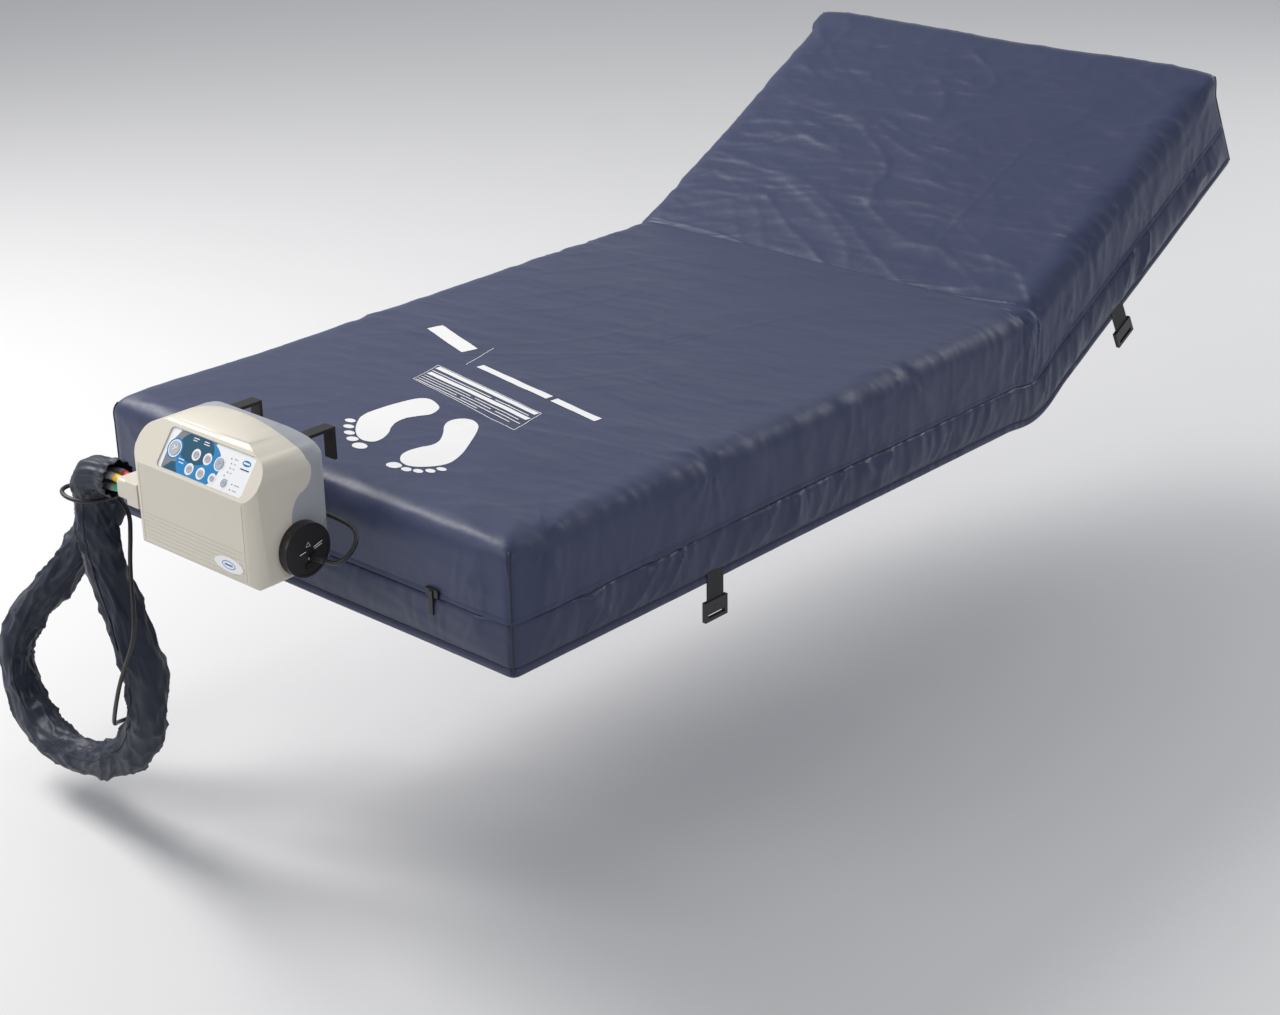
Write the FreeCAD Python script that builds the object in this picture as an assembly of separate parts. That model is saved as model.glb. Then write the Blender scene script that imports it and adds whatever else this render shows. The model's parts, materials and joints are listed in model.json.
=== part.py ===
import FreeCAD, Part

import math
import os

from FreeCAD import Rotation, Vector

# Alternating-pressure mattress on a profiling bed, with its footboard control unit,
# the sleeved air hose between them and the control unit's mains lead.
# Millimetres. +X is the right-hand side seen from the foot, +Y runs to the head, +Z is up.
# The origin is the middle of the seat section's underside.
# The back section is drawn raised, at the angle that it is stored at.

os.makedirs("parts", exist_ok=True)

# ---------------------------------------------------------------- mattress
MATTRESS_WIDTH = 914.0
MATTRESS_HEIGHT = 204.0
CELL_PITCH = 101.6
CALF_CELLS = 7
THIGH_CELLS = 3
SEAT_CELLS = 3
BACK_CELLS = 7

BACK_ANGLE = 28.45          # the back section's angle as drawn, degrees
BACK_MAX_ANGLE = 60.0       # steepest back section
THIGH_MAX_ANGLE = 25.0      # steepest thigh section
FOLD_SPARE_ANGLE = 2.0      # wedge left over at the end of a fold

COVER_WALL = 2.5
TOP_EDGE_RADIUS = 48.0
BOTTOM_EDGE_RADIUS = 6.0
SECTION_GAP = 0.4           # between rigid sections on different bodies
GUSSET_LOW = 12.0           # a fold's soft piece starts this far above the underside
GUSSET_GAP = 0.45           # between a fold's soft piece and the section beyond it
ZIP_HEIGHT = 92.0           # middle of the zipper above the underside
ZIP_BAND = 9.0
ZIP_PROUD = 1.2

CELL_WALL = 1.0
CELL_GAP = 2.0
CELL_CORNER = 34.0
CELL_TO_COVER = 2.0
MANIFOLD_DIAMETER = 11.0
MANIFOLD_WALL = 1.8
MANIFOLD_HEIGHT = 40.0
MANIFOLD_BAY = 34.0         # room beside the cells for the manifold tubes
MANIFOLD_SPACING = 22.0
MANIFOLD_END = 12.0         # tube ends short of the section's ends

SLIDER_LENGTH = 26.0
SLIDER_WIDTH = 12.0
SLIDER_THICK = 5.0
SLIDER_X = 300.0
SLIDER_GAP = 0.4
SLIDER_CORNER = 1.5
SLIDER_PULL_WIDTH = 8.0
SLIDER_PULL_THICK = 2.0
SLIDER_PULL_DROP = 34.0

STRAP_WIDTH = 38.0
STRAP_THICK = 2.0
STRAP_DROP = 48.0
STRAP_INSET = 433.0         # strap centre from the section's outer end
BUCKLE_HEIGHT = 34.0
BUCKLE_WIDTH = 52.0
BUCKLE_THICK = 7.0
BUCKLE_BAR = 6.0
BUCKLE_FIT = 0.4

CPR_FROM_HEAD = 150.0
CPR_HEIGHT = 50.0
CPR_RADIUS = 20.0
CPR_STEM_RADIUS = 9.0
CPR_STEM_LENGTH = 28.0
CPR_FLANGE = 3.0
CPR_FIT = 0.4
CPR_TRAVEL = 15.0
CPR_GRIP_LENGTH = 30.0

# ---------------------------------------------------------------- control unit
PUMP_WIDTH = 284.0
PUMP_HEIGHT = 210.0
PUMP_DEPTH = 136.0
PUMP_X = 15.0
PUMP_BACK_GAP = 66.0        # the unit's back face from the mattress's foot end
PUMP_BASE = 115.6           # the unit's base above the mattress's underside
BOARD_GAP = 53.0            # the footboard's outer face from the mattress's foot end
BOARD_THICK_MAX = 45.0
SHELL_WALL = 3.0
SHOULDER_HEIGHT = 158.0
SHOULDER_RISE = 29.0
SHOULDER_INSET = 25.0
SIDE_LEAN = 3.0
BASE_CORNER = 12.0
FRONT_CORNER = 26.0
FACE_LOWER_HEIGHT = 134.0   # where the front face starts to lean back
FACE_UPPER_HEIGHT = 193.0
FACE_UPPER_DEPTH = 93.0
REAR_TOP_HEIGHT = 190.0
REAR_BASE_RISE = 12.0
SEAM_DEPTH_TOP = 36.0
SEAM_DEPTH_LOW = 66.0
SEAM_DEPTH_BASE = 60.0

GROOVE = 0.9
DOOR_INSET = 24.0
DOOR_LOW = 10.0
DOOR_HEIGHT = 118.0
RIB_DEPTH = 0.55
RIB_COUNT = 7
RIB_PITCH = 6.5
RIB_LOWEST = 16.0

PANEL_WIDTH = 192.0
PANEL_HEIGHT = 62.0
PANEL_CENTRE_X = 17.0       # from the unit's middle
PANEL_CORNER = 7.0
PANEL_SUNK = 2.2
PANEL_THICK = 2.0
PANEL_FIT = 0.25
KEY_CLEARANCE = 0.35
KEY_PROUD = 1.0
KEY_TRAVEL = 0.6
KEY_FLANGE = 1.2
KEY_FLANGE_THICK = 1.0
KEY_FLANGE_GAP = 0.35
# name, share of the panel's width, share of its height, radius
KEYS = [
    ("key_mode", 0.115, 0.53, 10.0),
    ("key_firmer", 0.365, 0.566, 5.6),
    ("key_softer", 0.498, 0.566, 5.6),
    ("key_comfort", 0.640, 0.567, 7.6),
    ("key_cycle", 0.353, 0.197, 5.6),
    ("key_static", 0.486, 0.197, 5.6),
    ("key_mute", 0.624, 0.190, 4.4),
    ("key_power", 0.762, 0.190, 4.8),
]

BOARD_THICK = 1.6
BOARD_TO_PANEL = 9.0

DISC_RADIUS = 41.0
DISC_PROUD = 15.0
DISC_SUNK = 10.0
DISC_DEPTH = 54.0           # disc centre, forward of the back face
DISC_HEIGHT = 45.0
DISC_FIT = 0.2
DISC_RIM = 3.0
FUSE_RADIUS = 6.0
FUSE_LENGTH = 14.0
FUSE_PROUD = 2.5
FUSE_FIT = 0.4
FUSE_DROP = 26.0            # fuse cap below the disc's centre
RELIEF_DEPTH = 8.0          # strain relief behind the disc's centre
RELIEF_DROP = 12.0
RELIEF_LENGTH = 27.0
RELIEF_BASE_RADIUS = 7.5
RELIEF_TIP_RADIUS = 4.6

HOOK_SPREAD = 166.0
HOOK_WIDTH = 22.0
HOOK_THICK = 5.0
HOOK_TIP_DROP = 46.0
HOOK_TOP_GAP = 22.0         # hook's underside above the footboard's top edge
BOARD_TOP = 271.6           # footboard's top edge above the mattress's underside
HOOK_PIN_RADIUS = 3.0
HOOK_PIN_FIT = 0.05
HOOK_PIVOT_DROP = 26.0      # pivot below the footboard's top edge
HOOK_SIDE_GAP = 0.5
HOOK_EYE_RADIUS = 6.5
LUG_THICK = 4.0
BUMPER_RADIUS = 9.0
BUMPER_HEIGHT = 34.0
BUMPER_SPREAD = 200.0

FOOT_RADIUS = 8.0
FOOT_HEIGHT = 4.0
BADGE_WIDTH = 65.0
BADGE_HEIGHT = 22.0
BADGE_THICK = 1.2
SCREW_RADIUS = 4.0
SCREW_HEAD = 2.0

PORT_HEIGHT = 72.0          # hose port above the unit's base
PORT_DEPTH = 110.0
PORT_SIZE_Y = 46.0
PORT_SIZE_Z = 38.0
PORT_LENGTH = 18.0
CONNECTOR_LENGTH = 26.0
CONNECTOR_MARGIN = 3.0
TUBE_DIAMETER = 12.0
TUBE_BORE = 7.0
TUBE_SPREAD = 14.0
TUBE_SHOWN = 26.0

COMPRESSOR_SIZE = (110.0, 60.0, 62.0)
COMPRESSOR_CORNER = 8.0
VALVE_RADIUS = 24.0
VALVE_HEIGHT = 22.0
VALVE_DISC_RADIUS = 20.0
VALVE_DISC_THICK = 4.0
VALVE_SHAFT_RADIUS = 3.0
VALVE_FIT = 0.4
VALVE_SHAFT_FIT = 0.05
VALVE_WALL = 3.0

# ---------------------------------------------------------------- hose and lead
SLEEVE_DIAMETER = 66.0
CUFF_WALL = 2.0
CUFF_LENGTH = 12.0
CUFF_FIT = 2.0
SLEEVE_ROUTE = [
    (-197, -1344, 188),
    (-243, -1344, 188),
    (-282, -1338, 156),
    (-293, -1329, 84),
    (-287, -1321, -2),
    (-254, -1313, -92),
    (-234, -1306, -182),
    (-258, -1300, -278),
    (-326, -1295, -356),
    (-424, -1290, -408),
    (-536, -1285, -420),
    (-640, -1275, -386),
    (-694, -1260, -308),
    (-672, -1238, -224),
    (-618, -1208, -160),
    (-594, -1164, -104),
    (-588, -1112, -50),
    (-568, -1062, 4),
    (-528, -1036, 46),
    (-461, -1036, 46),
]

LEAD_DIAMETER = 7.0
LEAD_ROUTE = [
    (198, -1280, 149),
    (223, -1280, 149),
    (242, -1265, 160),
    (242, -1243, 175),
    (223, -1228, 186),
    (176, -1228, 189),
    (90, -1228, 190),
    (5, -1228, 181),
    (-78, -1228, 173),
    (-145, -1228, 169),
    (-184, -1245, 162),
    (-212, -1292, 154),
    (-233, -1328, 145),
    (-238, -1366, 145),
    (-270, -1385, 148),
    (-308, -1376, 148),
    (-329, -1346, 143),
    (-324, -1310, 136),
    (-295, -1289, 122),
    (-256, -1287, 98),
    (-238, -1304, 62),
    (-226, -1320, 28),
    (-208, -1336, -8),
    (-196, -1343, -44),
    (-199, -1348, -84),
    (-216, -1352, -122),
    (-240, -1353, -166),
    (-262, -1351, -214),
    (-289, -1340, -256),
    (-321, -1319, -284),
    (-344, -1297, -297),
    (-347, -1274, -301),
    (-343, -1254, -294),
    (-339, -1240, -270),
    (-347, -1240, -240),
]
HANK_AXIS_X = -347.0
HANK_AXIS_Y = -1240.0
HANK_LOW = -240.0
HANK_LENGTH = 136.0
HANK_WIDTH = 50.0
HANK_THICK = 30.0
HANK_RUN_INSET = 4.0        # the lead's first run inside the hank's right and rear faces
HANK_TURN = -33.0           # the hank's flat side about +Z, degrees
HANK_LEAN = -15.0           # the hank's lean, beside the hose, about +Y, degrees
HANK_CORNER = 22.0
PLUG_RISE = 6.0             # the plug above the hank
PLUG_SHIFT = (-12.0, -16.0)  # the plug's middle from the lead's first run
PLUG_CORNER = 5.0
PLUG_NECK_RADIUS = 4.5
PLUG_LENGTH = 42.0
PLUG_WIDTH = 26.0
PLUG_THICK = 22.0
BLADE_LENGTH = 17.0
BLADE_WIDTH = 6.3
BLADE_THICK = 1.5
BLADE_SPACING = 12.7
EARTH_PIN_RADIUS = 2.4
EARTH_PIN_LENGTH = 20.0
BLADE_SET_BACK = 3.0        # the two blades from the plug's middle
EARTH_PIN_SET = 7.0         # the earth pin from the plug's middle

# ---------------------------------------------------------------- derived places
SEAT_LENGTH = SEAT_CELLS * CELL_PITCH
BACK_HINGE_Y = SEAT_LENGTH / 2
THIGH_HINGE_Y = -SEAT_LENGTH / 2
KNEE_HINGE_Y = THIGH_HINGE_Y - THIGH_CELLS * CELL_PITCH
FOOT_Y = KNEE_HINGE_Y - CALF_CELLS * CELL_PITCH
HEAD_Y = BACK_HINGE_Y + BACK_CELLS * CELL_PITCH
HALF_WIDTH = MATTRESS_WIDTH / 2
BACK_WEDGE = (BACK_MAX_ANGLE + FOLD_SPARE_ANGLE) / 2
THIGH_WEDGE = (THIGH_MAX_ANGLE + FOLD_SPARE_ANGLE) / 2
PUMP_BACK_Y = FOOT_Y - PUMP_BACK_GAP
BOARD_FACE_Y = FOOT_Y - BOARD_GAP
SIDE_X = PUMP_X + PUMP_WIDTH / 2
X_AXIS = Vector(1, 0, 0)
Y_AXIS = Vector(0, 1, 0)
Z_AXIS = Vector(0, 0, 1)


def save(name, *shapes):
    """Writes one node, which may be a group of separate solids."""
    solids = [solid for shape in shapes for solid in shape.Solids]
    result = solids[0] if len(solids) == 1 else Part.makeCompound(solids)
    result.exportStep(f"parts/{name}.step")


def polygon(points):
    """A closed flat face from its corners."""
    corners = [Vector(*point) for point in points]
    return Part.Face(Part.makePolygon(corners + corners[:1]))


def box(low, high):
    """A box from its lowest to its highest corner."""
    size = [b - a for a, b in zip(low, high)]
    return Part.makeBox(*size, Vector(*low))


def rod(radius, start, end):
    """A round bar from one point to another."""
    start, end = Vector(*start), Vector(*end)
    return Part.makeCylinder(radius, (end - start).Length, start, end - start)


def cone(base_radius, tip_radius, start, end):
    """A tapered round bar."""
    start, end = Vector(*start), Vector(*end)
    return Part.makeCone(base_radius, tip_radius, (end - start).Length, start, end - start)


# ================================================================ mattress
def raised(shape):
    """Turns a piece of the back section up to its drawn angle."""
    hinge = Vector(0, BACK_HINGE_Y, 0)
    return shape.copy().rotated(hinge, X_AXIS, BACK_ANGLE)


def loaf_face(inset, y):
    """The mattress's cross-section at y, pulled in by inset."""
    half = HALF_WIDTH - inset
    top = MATTRESS_HEIGHT - inset
    corner = TOP_EDGE_RADIUS - inset
    foot = max(BOTTOM_EDGE_RADIUS - inset, 0.5)
    shoulder = corner * (1 - math.sqrt(0.5))
    heel = foot * (1 - math.sqrt(0.5))

    def at(x, z):
        return Vector(x, y, z)

    def line(a, b):
        return Part.LineSegment(at(*a), at(*b)).toShape()

    def arc(a, b, c):
        return Part.Arc(at(*a), at(*b), at(*c)).toShape()

    edges = [
        line((-half + foot, inset), (half - foot, inset)),
        arc((half - foot, inset), (half - heel, inset + heel), (half, inset + foot)),
        line((half, inset + foot), (half, top - corner)),
        arc((half, top - corner), (half - shoulder, top - shoulder), (half - corner, top)),
        line((half - corner, top), (-half + corner, top)),
        arc((-half + corner, top), (-half + shoulder, top - shoulder), (-half, top - corner)),
        line((-half, top - corner), (-half, inset + foot)),
        arc((-half, inset + foot), (-half + heel, inset + heel), (-half + foot, inset)),
    ]
    return Part.Face(Part.Wire(edges))


def loaf(inset, y_low, y_high):
    """The mattress's cross-section drawn out along its length."""
    return loaf_face(inset, y_low).extrude(Vector(0, y_high - y_low, 0))


def side_prism(y_low, y_high, lean_low, lean_high, margin):
    """All the room of one section, between its two leaning end planes.

    lean_low and lean_high are the angles that the ends lean in by at the top.
    """
    reach = MATTRESS_HEIGHT + 60
    drop = -5
    corners = []
    for y, lean, sign in ((y_low, lean_low, 1), (y_high, lean_high, -1)):
        slope = math.tan(math.radians(lean))
        start = y + sign * margin
        corners.append((start + sign * slope * drop, start + sign * slope * reach))
    (low_a, low_b), (high_a, high_b) = corners
    face = polygon([
        (-HALF_WIDTH - 50, low_a, drop),
        (-HALF_WIDTH - 50, high_a, drop),
        (-HALF_WIDTH - 50, high_b, reach),
        (-HALF_WIDTH - 50, low_b, reach),
    ])
    return face.extrude(Vector(MATTRESS_WIDTH + 100, 0, 0))


# section: (low end, high end, lean at the low end, lean at the high end, closed ends, cells)
SECTIONS = {
    "calf": (FOOT_Y, KNEE_HINGE_Y, 0, 0, (True, False), CALF_CELLS),
    "thigh": (KNEE_HINGE_Y, THIGH_HINGE_Y, 0, THIGH_WEDGE, (False, False), THIGH_CELLS),
    "seat": (THIGH_HINGE_Y, BACK_HINGE_Y, THIGH_WEDGE, BACK_WEDGE, (False, False), SEAT_CELLS),
    "back": (BACK_HINGE_Y, HEAD_Y, BACK_WEDGE, 0, (False, True), BACK_CELLS),
}


def section_room(name, inset):
    """The space of a section, with its closed ends pulled in by inset."""
    y_low, y_high, lean_low, lean_high, closed, _ = SECTIONS[name]
    low = y_low + inset if closed[0] else y_low
    high = y_high - inset if closed[1] else y_high
    gap_low = 0 if closed[0] else SECTION_GAP / 2
    gap_high = 0 if closed[1] else SECTION_GAP / 2
    return side_prism(low + gap_low, high - gap_high, lean_low, lean_high, 0)


def cover_shell(name):
    """A section's cover: a thin loaf, open where the next section goes on."""
    y_low, y_high, _, _, closed, _ = SECTIONS[name]
    outer = loaf(0, y_low, y_high).common(section_room(name, 0))
    past = 10
    inner_low = y_low + COVER_WALL if closed[0] else y_low - past
    inner_high = y_high - COVER_WALL if closed[1] else y_high + past
    return outer.cut(loaf(COVER_WALL, inner_low, inner_high))


def height_band(low, high):
    """A slab of all the mattress's plan between two heights."""
    return box((-HALF_WIDTH - 80, FOOT_Y - 80, low), (HALF_WIDTH + 80, HEAD_Y + 80, high))


def make_covers():
    """The top cover, the base cover and the zipper between them, section by section."""
    zip_low = ZIP_HEIGHT - ZIP_BAND / 2
    zip_high = ZIP_HEIGHT + ZIP_BAND / 2
    for name, section in SECTIONS.items():
        y_low, y_high, _, _, closed, _ = section
        shell = cover_shell(name)
        top = shell.common(height_band(zip_high, MATTRESS_HEIGHT + 1))
        base = shell.common(height_band(-1, zip_low))
        band_low = y_low - ZIP_PROUD if closed[0] else y_low + SECTION_GAP / 2
        band_high = y_high + ZIP_PROUD if closed[1] else y_high - SECTION_GAP / 2
        side = HALF_WIDTH + ZIP_PROUD
        band = box((-side, band_low, zip_low), (side, band_high, zip_high))
        inner = box(
            (-HALF_WIDTH + COVER_WALL, y_low + COVER_WALL if closed[0] else y_low - 10, zip_low - 1),
            (HALF_WIDTH - COVER_WALL, y_high - COVER_WALL if closed[1] else y_high + 10, zip_high + 1),
        )
        room = side_prism(band_low, band_high, section[2], section[3], 0)
        zipper = band.cut(inner).common(room)
        if name == "calf":
            base = base.cut(hose_hole())
        if name == "back":
            base = base.cut(cpr_hole())
        pieces = [top, base, zipper]
        if name == "back":
            pieces = [raised(piece) for piece in pieces]
        save(f"top_cover_{name}", pieces[0])
        save(f"base_cover_{name}", pieces[1])
        save(f"zipper_{name}", pieces[2])


def fold_gusset(hinge_y, near_lean, far_lean, turn, near_is_low):
    """The cover's soft piece in the wedge between two sections, over the hinge line at hinge_y.

    near_lean is the lean of the end plane of the section that it is sewn to; turn is how far
    the other section is raised as drawn.
    """
    sign = 1 if near_is_low else -1
    near = math.radians(90 + sign * near_lean)
    far = math.radians(90 - sign * far_lean + sign * turn)
    near_foot = hinge_y - sign * SECTION_GAP / 2
    far_foot = hinge_y + sign * (SECTION_GAP / 2 - GUSSET_GAP)
    low = GUSSET_LOW
    high = MATTRESS_HEIGHT * 1.4
    side = -HALF_WIDTH - 5
    face = polygon([
        (side, near_foot + low / math.tan(near), low),
        (side, near_foot + high / math.tan(near), high),
        (side, far_foot + high / math.tan(far), high),
        (side, far_foot + low / math.tan(far), low),
    ])
    wedge = face.extrude(Vector(MATTRESS_WIDTH + 10, 0, 0))
    span = MATTRESS_HEIGHT
    outer = loaf(0, hinge_y - span, hinge_y + span)
    inner = loaf(COVER_WALL, hinge_y - span - 1, hinge_y + span + 1)
    return outer.cut(inner).common(wedge)


def air_cell(y_low, y_high):
    """One transverse air cell: a hollow closed loaf with round edges."""
    x_low = -HALF_WIDTH + COVER_WALL + CELL_TO_COVER + MANIFOLD_BAY
    x_high = HALF_WIDTH - COVER_WALL - CELL_TO_COVER
    z_low = COVER_WALL + CELL_TO_COVER
    z_high = MATTRESS_HEIGHT - COVER_WALL - CELL_TO_COVER
    outer = box((x_low, y_low, z_low), (x_high, y_high, z_high))
    along = [e for e in outer.Edges if abs(e.tangentAt(0).x) > 0.9]
    outer = outer.makeFillet(CELL_CORNER, along)
    inner = box(
        (x_low + CELL_WALL, y_low + CELL_WALL, z_low + CELL_WALL),
        (x_high - CELL_WALL, y_high - CELL_WALL, z_high - CELL_WALL),
    )
    along = [e for e in inner.Edges if abs(e.tangentAt(0).x) > 0.9]
    return outer, inner.makeFillet(CELL_CORNER - CELL_WALL, along)


def make_cells():
    """The air cells of each section, trimmed where the section's end leans in."""
    loaf_inset = COVER_WALL + CELL_TO_COVER
    for name, section in SECTIONS.items():
        y_low, y_high, lean_low, lean_high, closed, count = section
        room = side_prism(y_low, y_high, lean_low, lean_high, CELL_TO_COVER)
        inner_room = side_prism(y_low, y_high, lean_low, lean_high, CELL_TO_COVER + CELL_WALL * 1.4)
        bounds = loaf(loaf_inset, y_low - 1, y_high + 1)
        inner_bounds = loaf(loaf_inset + CELL_WALL, y_low - 1, y_high + 1)
        cells = []
        for index in range(count):
            low = y_low + index * CELL_PITCH + CELL_GAP / 2
            high = low + CELL_PITCH - CELL_GAP
            low = max(low, y_low + loaf_inset) if closed[0] else low
            high = min(high, y_high - loaf_inset) if closed[1] else high
            outer, inner = air_cell(low, high)
            skin = outer.common(room).common(bounds)
            hollow = inner.common(inner_room).common(inner_bounds)
            cells.append(skin.cut(hollow))
        if name == "back":
            cells = [raised(cell) for cell in cells]
        save(f"air_cells_{name}", *cells)


def make_manifolds():
    """The two supply tubes that feed the cells alternately, along the left side."""
    x = -HALF_WIDTH + COVER_WALL + CELL_TO_COVER + MANIFOLD_BAY / 2
    outer = MANIFOLD_DIAMETER / 2
    bore = outer - MANIFOLD_WALL
    for name, (y_low, y_high, lean_low, lean_high, _, _) in SECTIONS.items():
        tubes = []
        for step in range(2):
            z = MANIFOLD_HEIGHT + step * MANIFOLD_SPACING
            ends = [
                y_low + z * math.tan(math.radians(lean_low)) + MANIFOLD_END,
                y_high - z * math.tan(math.radians(lean_high)) - MANIFOLD_END,
            ]
            if name == "back":
                ends[1] = HEAD_Y - CPR_FROM_HEAD - CPR_RADIUS
            tube = rod(outer, (x, ends[0], z), (x, ends[1], z))
            tubes.append(tube.cut(rod(bore, (x, ends[0] - 1, z), (x, ends[1] + 1, z))))
        if name == "back":
            tubes = [raised(tube) for tube in tubes]
        save(f"air_manifold_{name}", *tubes)


def make_slider():
    """The zipper's slider, on the foot end, with its pull hanging down."""
    face_y = FOOT_Y - ZIP_PROUD - SLIDER_GAP
    x_low = SLIDER_X - SLIDER_LENGTH / 2
    body = box(
        (x_low, face_y - SLIDER_THICK, ZIP_HEIGHT - SLIDER_WIDTH / 2),
        (x_low + SLIDER_LENGTH, face_y, ZIP_HEIGHT + SLIDER_WIDTH / 2),
    )
    upright = [e for e in body.Edges if abs(e.tangentAt(0).z) > 0.9]
    body = body.makeFillet(SLIDER_CORNER, upright)
    pull = box(
        (SLIDER_X - SLIDER_PULL_WIDTH / 2, face_y - SLIDER_THICK - SLIDER_PULL_THICK,
         ZIP_HEIGHT - SLIDER_PULL_DROP),
        (SLIDER_X + SLIDER_PULL_WIDTH / 2, face_y - SLIDER_THICK, ZIP_HEIGHT + SLIDER_WIDTH / 3),
    )
    save("zip_slider", body.fuse(pull).removeSplitter())


def strap_at(y, side):
    """A webbing strap sewn to the base cover's side and hanging past the underside."""
    x = side * (HALF_WIDTH + STRAP_THICK / 2)
    return box(
        (x - STRAP_THICK / 2, y - STRAP_WIDTH / 2, -STRAP_DROP),
        (x + STRAP_THICK / 2, y + STRAP_WIDTH / 2, ZIP_HEIGHT / 3),
    )


def buckle_at(y, side):
    """A three-bar slide buckle that the strap's end runs through."""
    x = side * (HALF_WIDTH + STRAP_THICK / 2)
    z_high = -STRAP_DROP + BUCKLE_HEIGHT * 0.6
    z_low = z_high - BUCKLE_HEIGHT
    frame = box(
        (x - BUCKLE_THICK / 2, y - BUCKLE_WIDTH / 2, z_low),
        (x + BUCKLE_THICK / 2, y + BUCKLE_WIDTH / 2, z_high),
    )
    slot_half = STRAP_WIDTH / 2 + BUCKLE_FIT
    through = BUCKLE_THICK
    slot = box(
        (x - STRAP_THICK / 2 - BUCKLE_FIT, y - slot_half, z_low + BUCKLE_BAR),
        (x + STRAP_THICK / 2 + BUCKLE_FIT, y + slot_half, z_high + 1),
    )
    window = box(
        (x - through, y - slot_half, z_low + BUCKLE_BAR),
        (x + through, y + slot_half, z_low + BUCKLE_BAR * 2),
    )
    return frame.cut(slot).cut(window)


def make_straps():
    """The straps that tie the mattress to the bed's foot and head sections."""
    places = {"calf": FOOT_Y + STRAP_INSET, "back": HEAD_Y - STRAP_INSET}
    for name, y in places.items():
        straps = [strap_at(y, side) for side in (-1, 1)]
        buckles = [buckle_at(y, side) for side in (-1, 1)]
        if name == "back":
            straps = [raised(strap) for strap in straps]
            buckles = [raised(buckle) for buckle in buckles]
        save(f"bed_straps_{name}", *straps)
        save(f"strap_buckles_{name}", *buckles)


def cpr_centre():
    """Where the quick-deflate valve comes through the left side of the back section."""
    return -HALF_WIDTH, HEAD_Y - CPR_FROM_HEAD, CPR_HEIGHT


def cpr_hole():
    """The valve's hole in the base cover."""
    x, y, z = cpr_centre()
    return rod(CPR_RADIUS, (x - 10, y, z), (x + 10, y, z))


def make_cpr():
    """The quick-deflate valve and the pull that opens it."""
    x, y, z = cpr_centre()
    flange = rod(CPR_RADIUS, (x - CPR_FLANGE, y, z), (x + CPR_STEM_LENGTH, y, z))
    bore = rod(CPR_STEM_RADIUS + CPR_FIT, (x - 10, y, z), (x + CPR_STEM_LENGTH - 3, y, z))
    plug = rod(CPR_STEM_RADIUS, (x - CPR_FLANGE - 4, y, z), (x + CPR_STEM_LENGTH - 4, y, z))
    grip = box(
        (x - CPR_FLANGE - 4 - CPR_GRIP_LENGTH / 2, y - 12, z - 2),
        (x - CPR_FLANGE - 3, y + 12, z + 2),
    )
    save("cpr_valve", raised(flange.cut(bore)))
    save("cpr_pull", raised(plug.fuse(grip).removeSplitter()))


def hose_axis():
    """Where the hose goes in through the left side of the calf section."""
    _, y, z = SLEEVE_ROUTE[-1]
    return y, z


def hose_hole():
    """The hose's opening in the base cover."""
    y, z = hose_axis()
    radius = SLEEVE_DIAMETER / 2 + CUFF_FIT
    return rod(radius, (-HALF_WIDTH - 10, y, z), (-HALF_WIDTH + 10, y, z))


def make_cuff():
    """The reinforced ring round the hose's opening."""
    y, z = hose_axis()
    outer = SLEEVE_DIAMETER / 2 + CUFF_FIT
    low_z = max(z - outer, 0.5)
    ring = rod(outer, (-HALF_WIDTH - 1.5, y, z), (-HALF_WIDTH + CUFF_LENGTH, y, z))
    ring = ring.cut(rod(outer - CUFF_WALL, (-HALF_WIDTH - 9, y, z), (-HALF_WIDTH + 30, y, z)))
    save("hose_cuff", ring.common(height_band(low_z, ZIP_HEIGHT)))


# ================================================================ control unit
def unit(x, depth, height):
    """A place on the control unit: across from its middle, forward of its back, above its base."""
    return Vector(PUMP_X + x, PUMP_BACK_Y - depth, PUMP_BASE + height)


def wire_of(place, steps):
    """A closed wire. A step is a point, or (through, to) for an arc from the last point."""
    edges = []
    last = steps[0]
    for step in steps[1:]:
        if isinstance(step[0], tuple):
            through, to = step
            edges.append(Part.Arc(place(*last), place(*through), place(*to)).toShape())
        else:
            to = step
            edges.append(Part.LineSegment(place(*last), place(*to)).toShape())
        last = to
    return Part.Face(Part.Wire(edges))


def elevation(inset):
    """The unit's outline from the front, drawn through its depth."""
    half = PUMP_WIDTH / 2 - inset
    low = inset
    r = BASE_CORNER - inset / 2
    k = r * (1 - math.sqrt(0.5))
    shoulder = SHOULDER_HEIGHT
    side = half - SIDE_LEAN
    arch_x = half - SHOULDER_INSET
    arch_z = SHOULDER_HEIGHT + SHOULDER_RISE - inset
    mid_x = half - SHOULDER_INSET * 0.36
    mid_z = SHOULDER_HEIGHT + SHOULDER_RISE * 0.68 - inset * 0.6
    top = PUMP_HEIGHT - inset
    face = wire_of(lambda x, z: unit(x, -1, z), [
        (-half + r, low), (half - r, low),
        ((half - k, low + k), (half, low + r)),
        (side, shoulder),
        ((mid_x, mid_z), (arch_x, arch_z)),
        ((0, top), (-arch_x, arch_z)),
        ((-mid_x, mid_z), (-side, shoulder)),
        (-half, low + r),
        ((-half + k, low + k), (-half + r, low)),
    ])
    return face.extrude(Vector(0, -PUMP_DEPTH - 20, 0))


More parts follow.
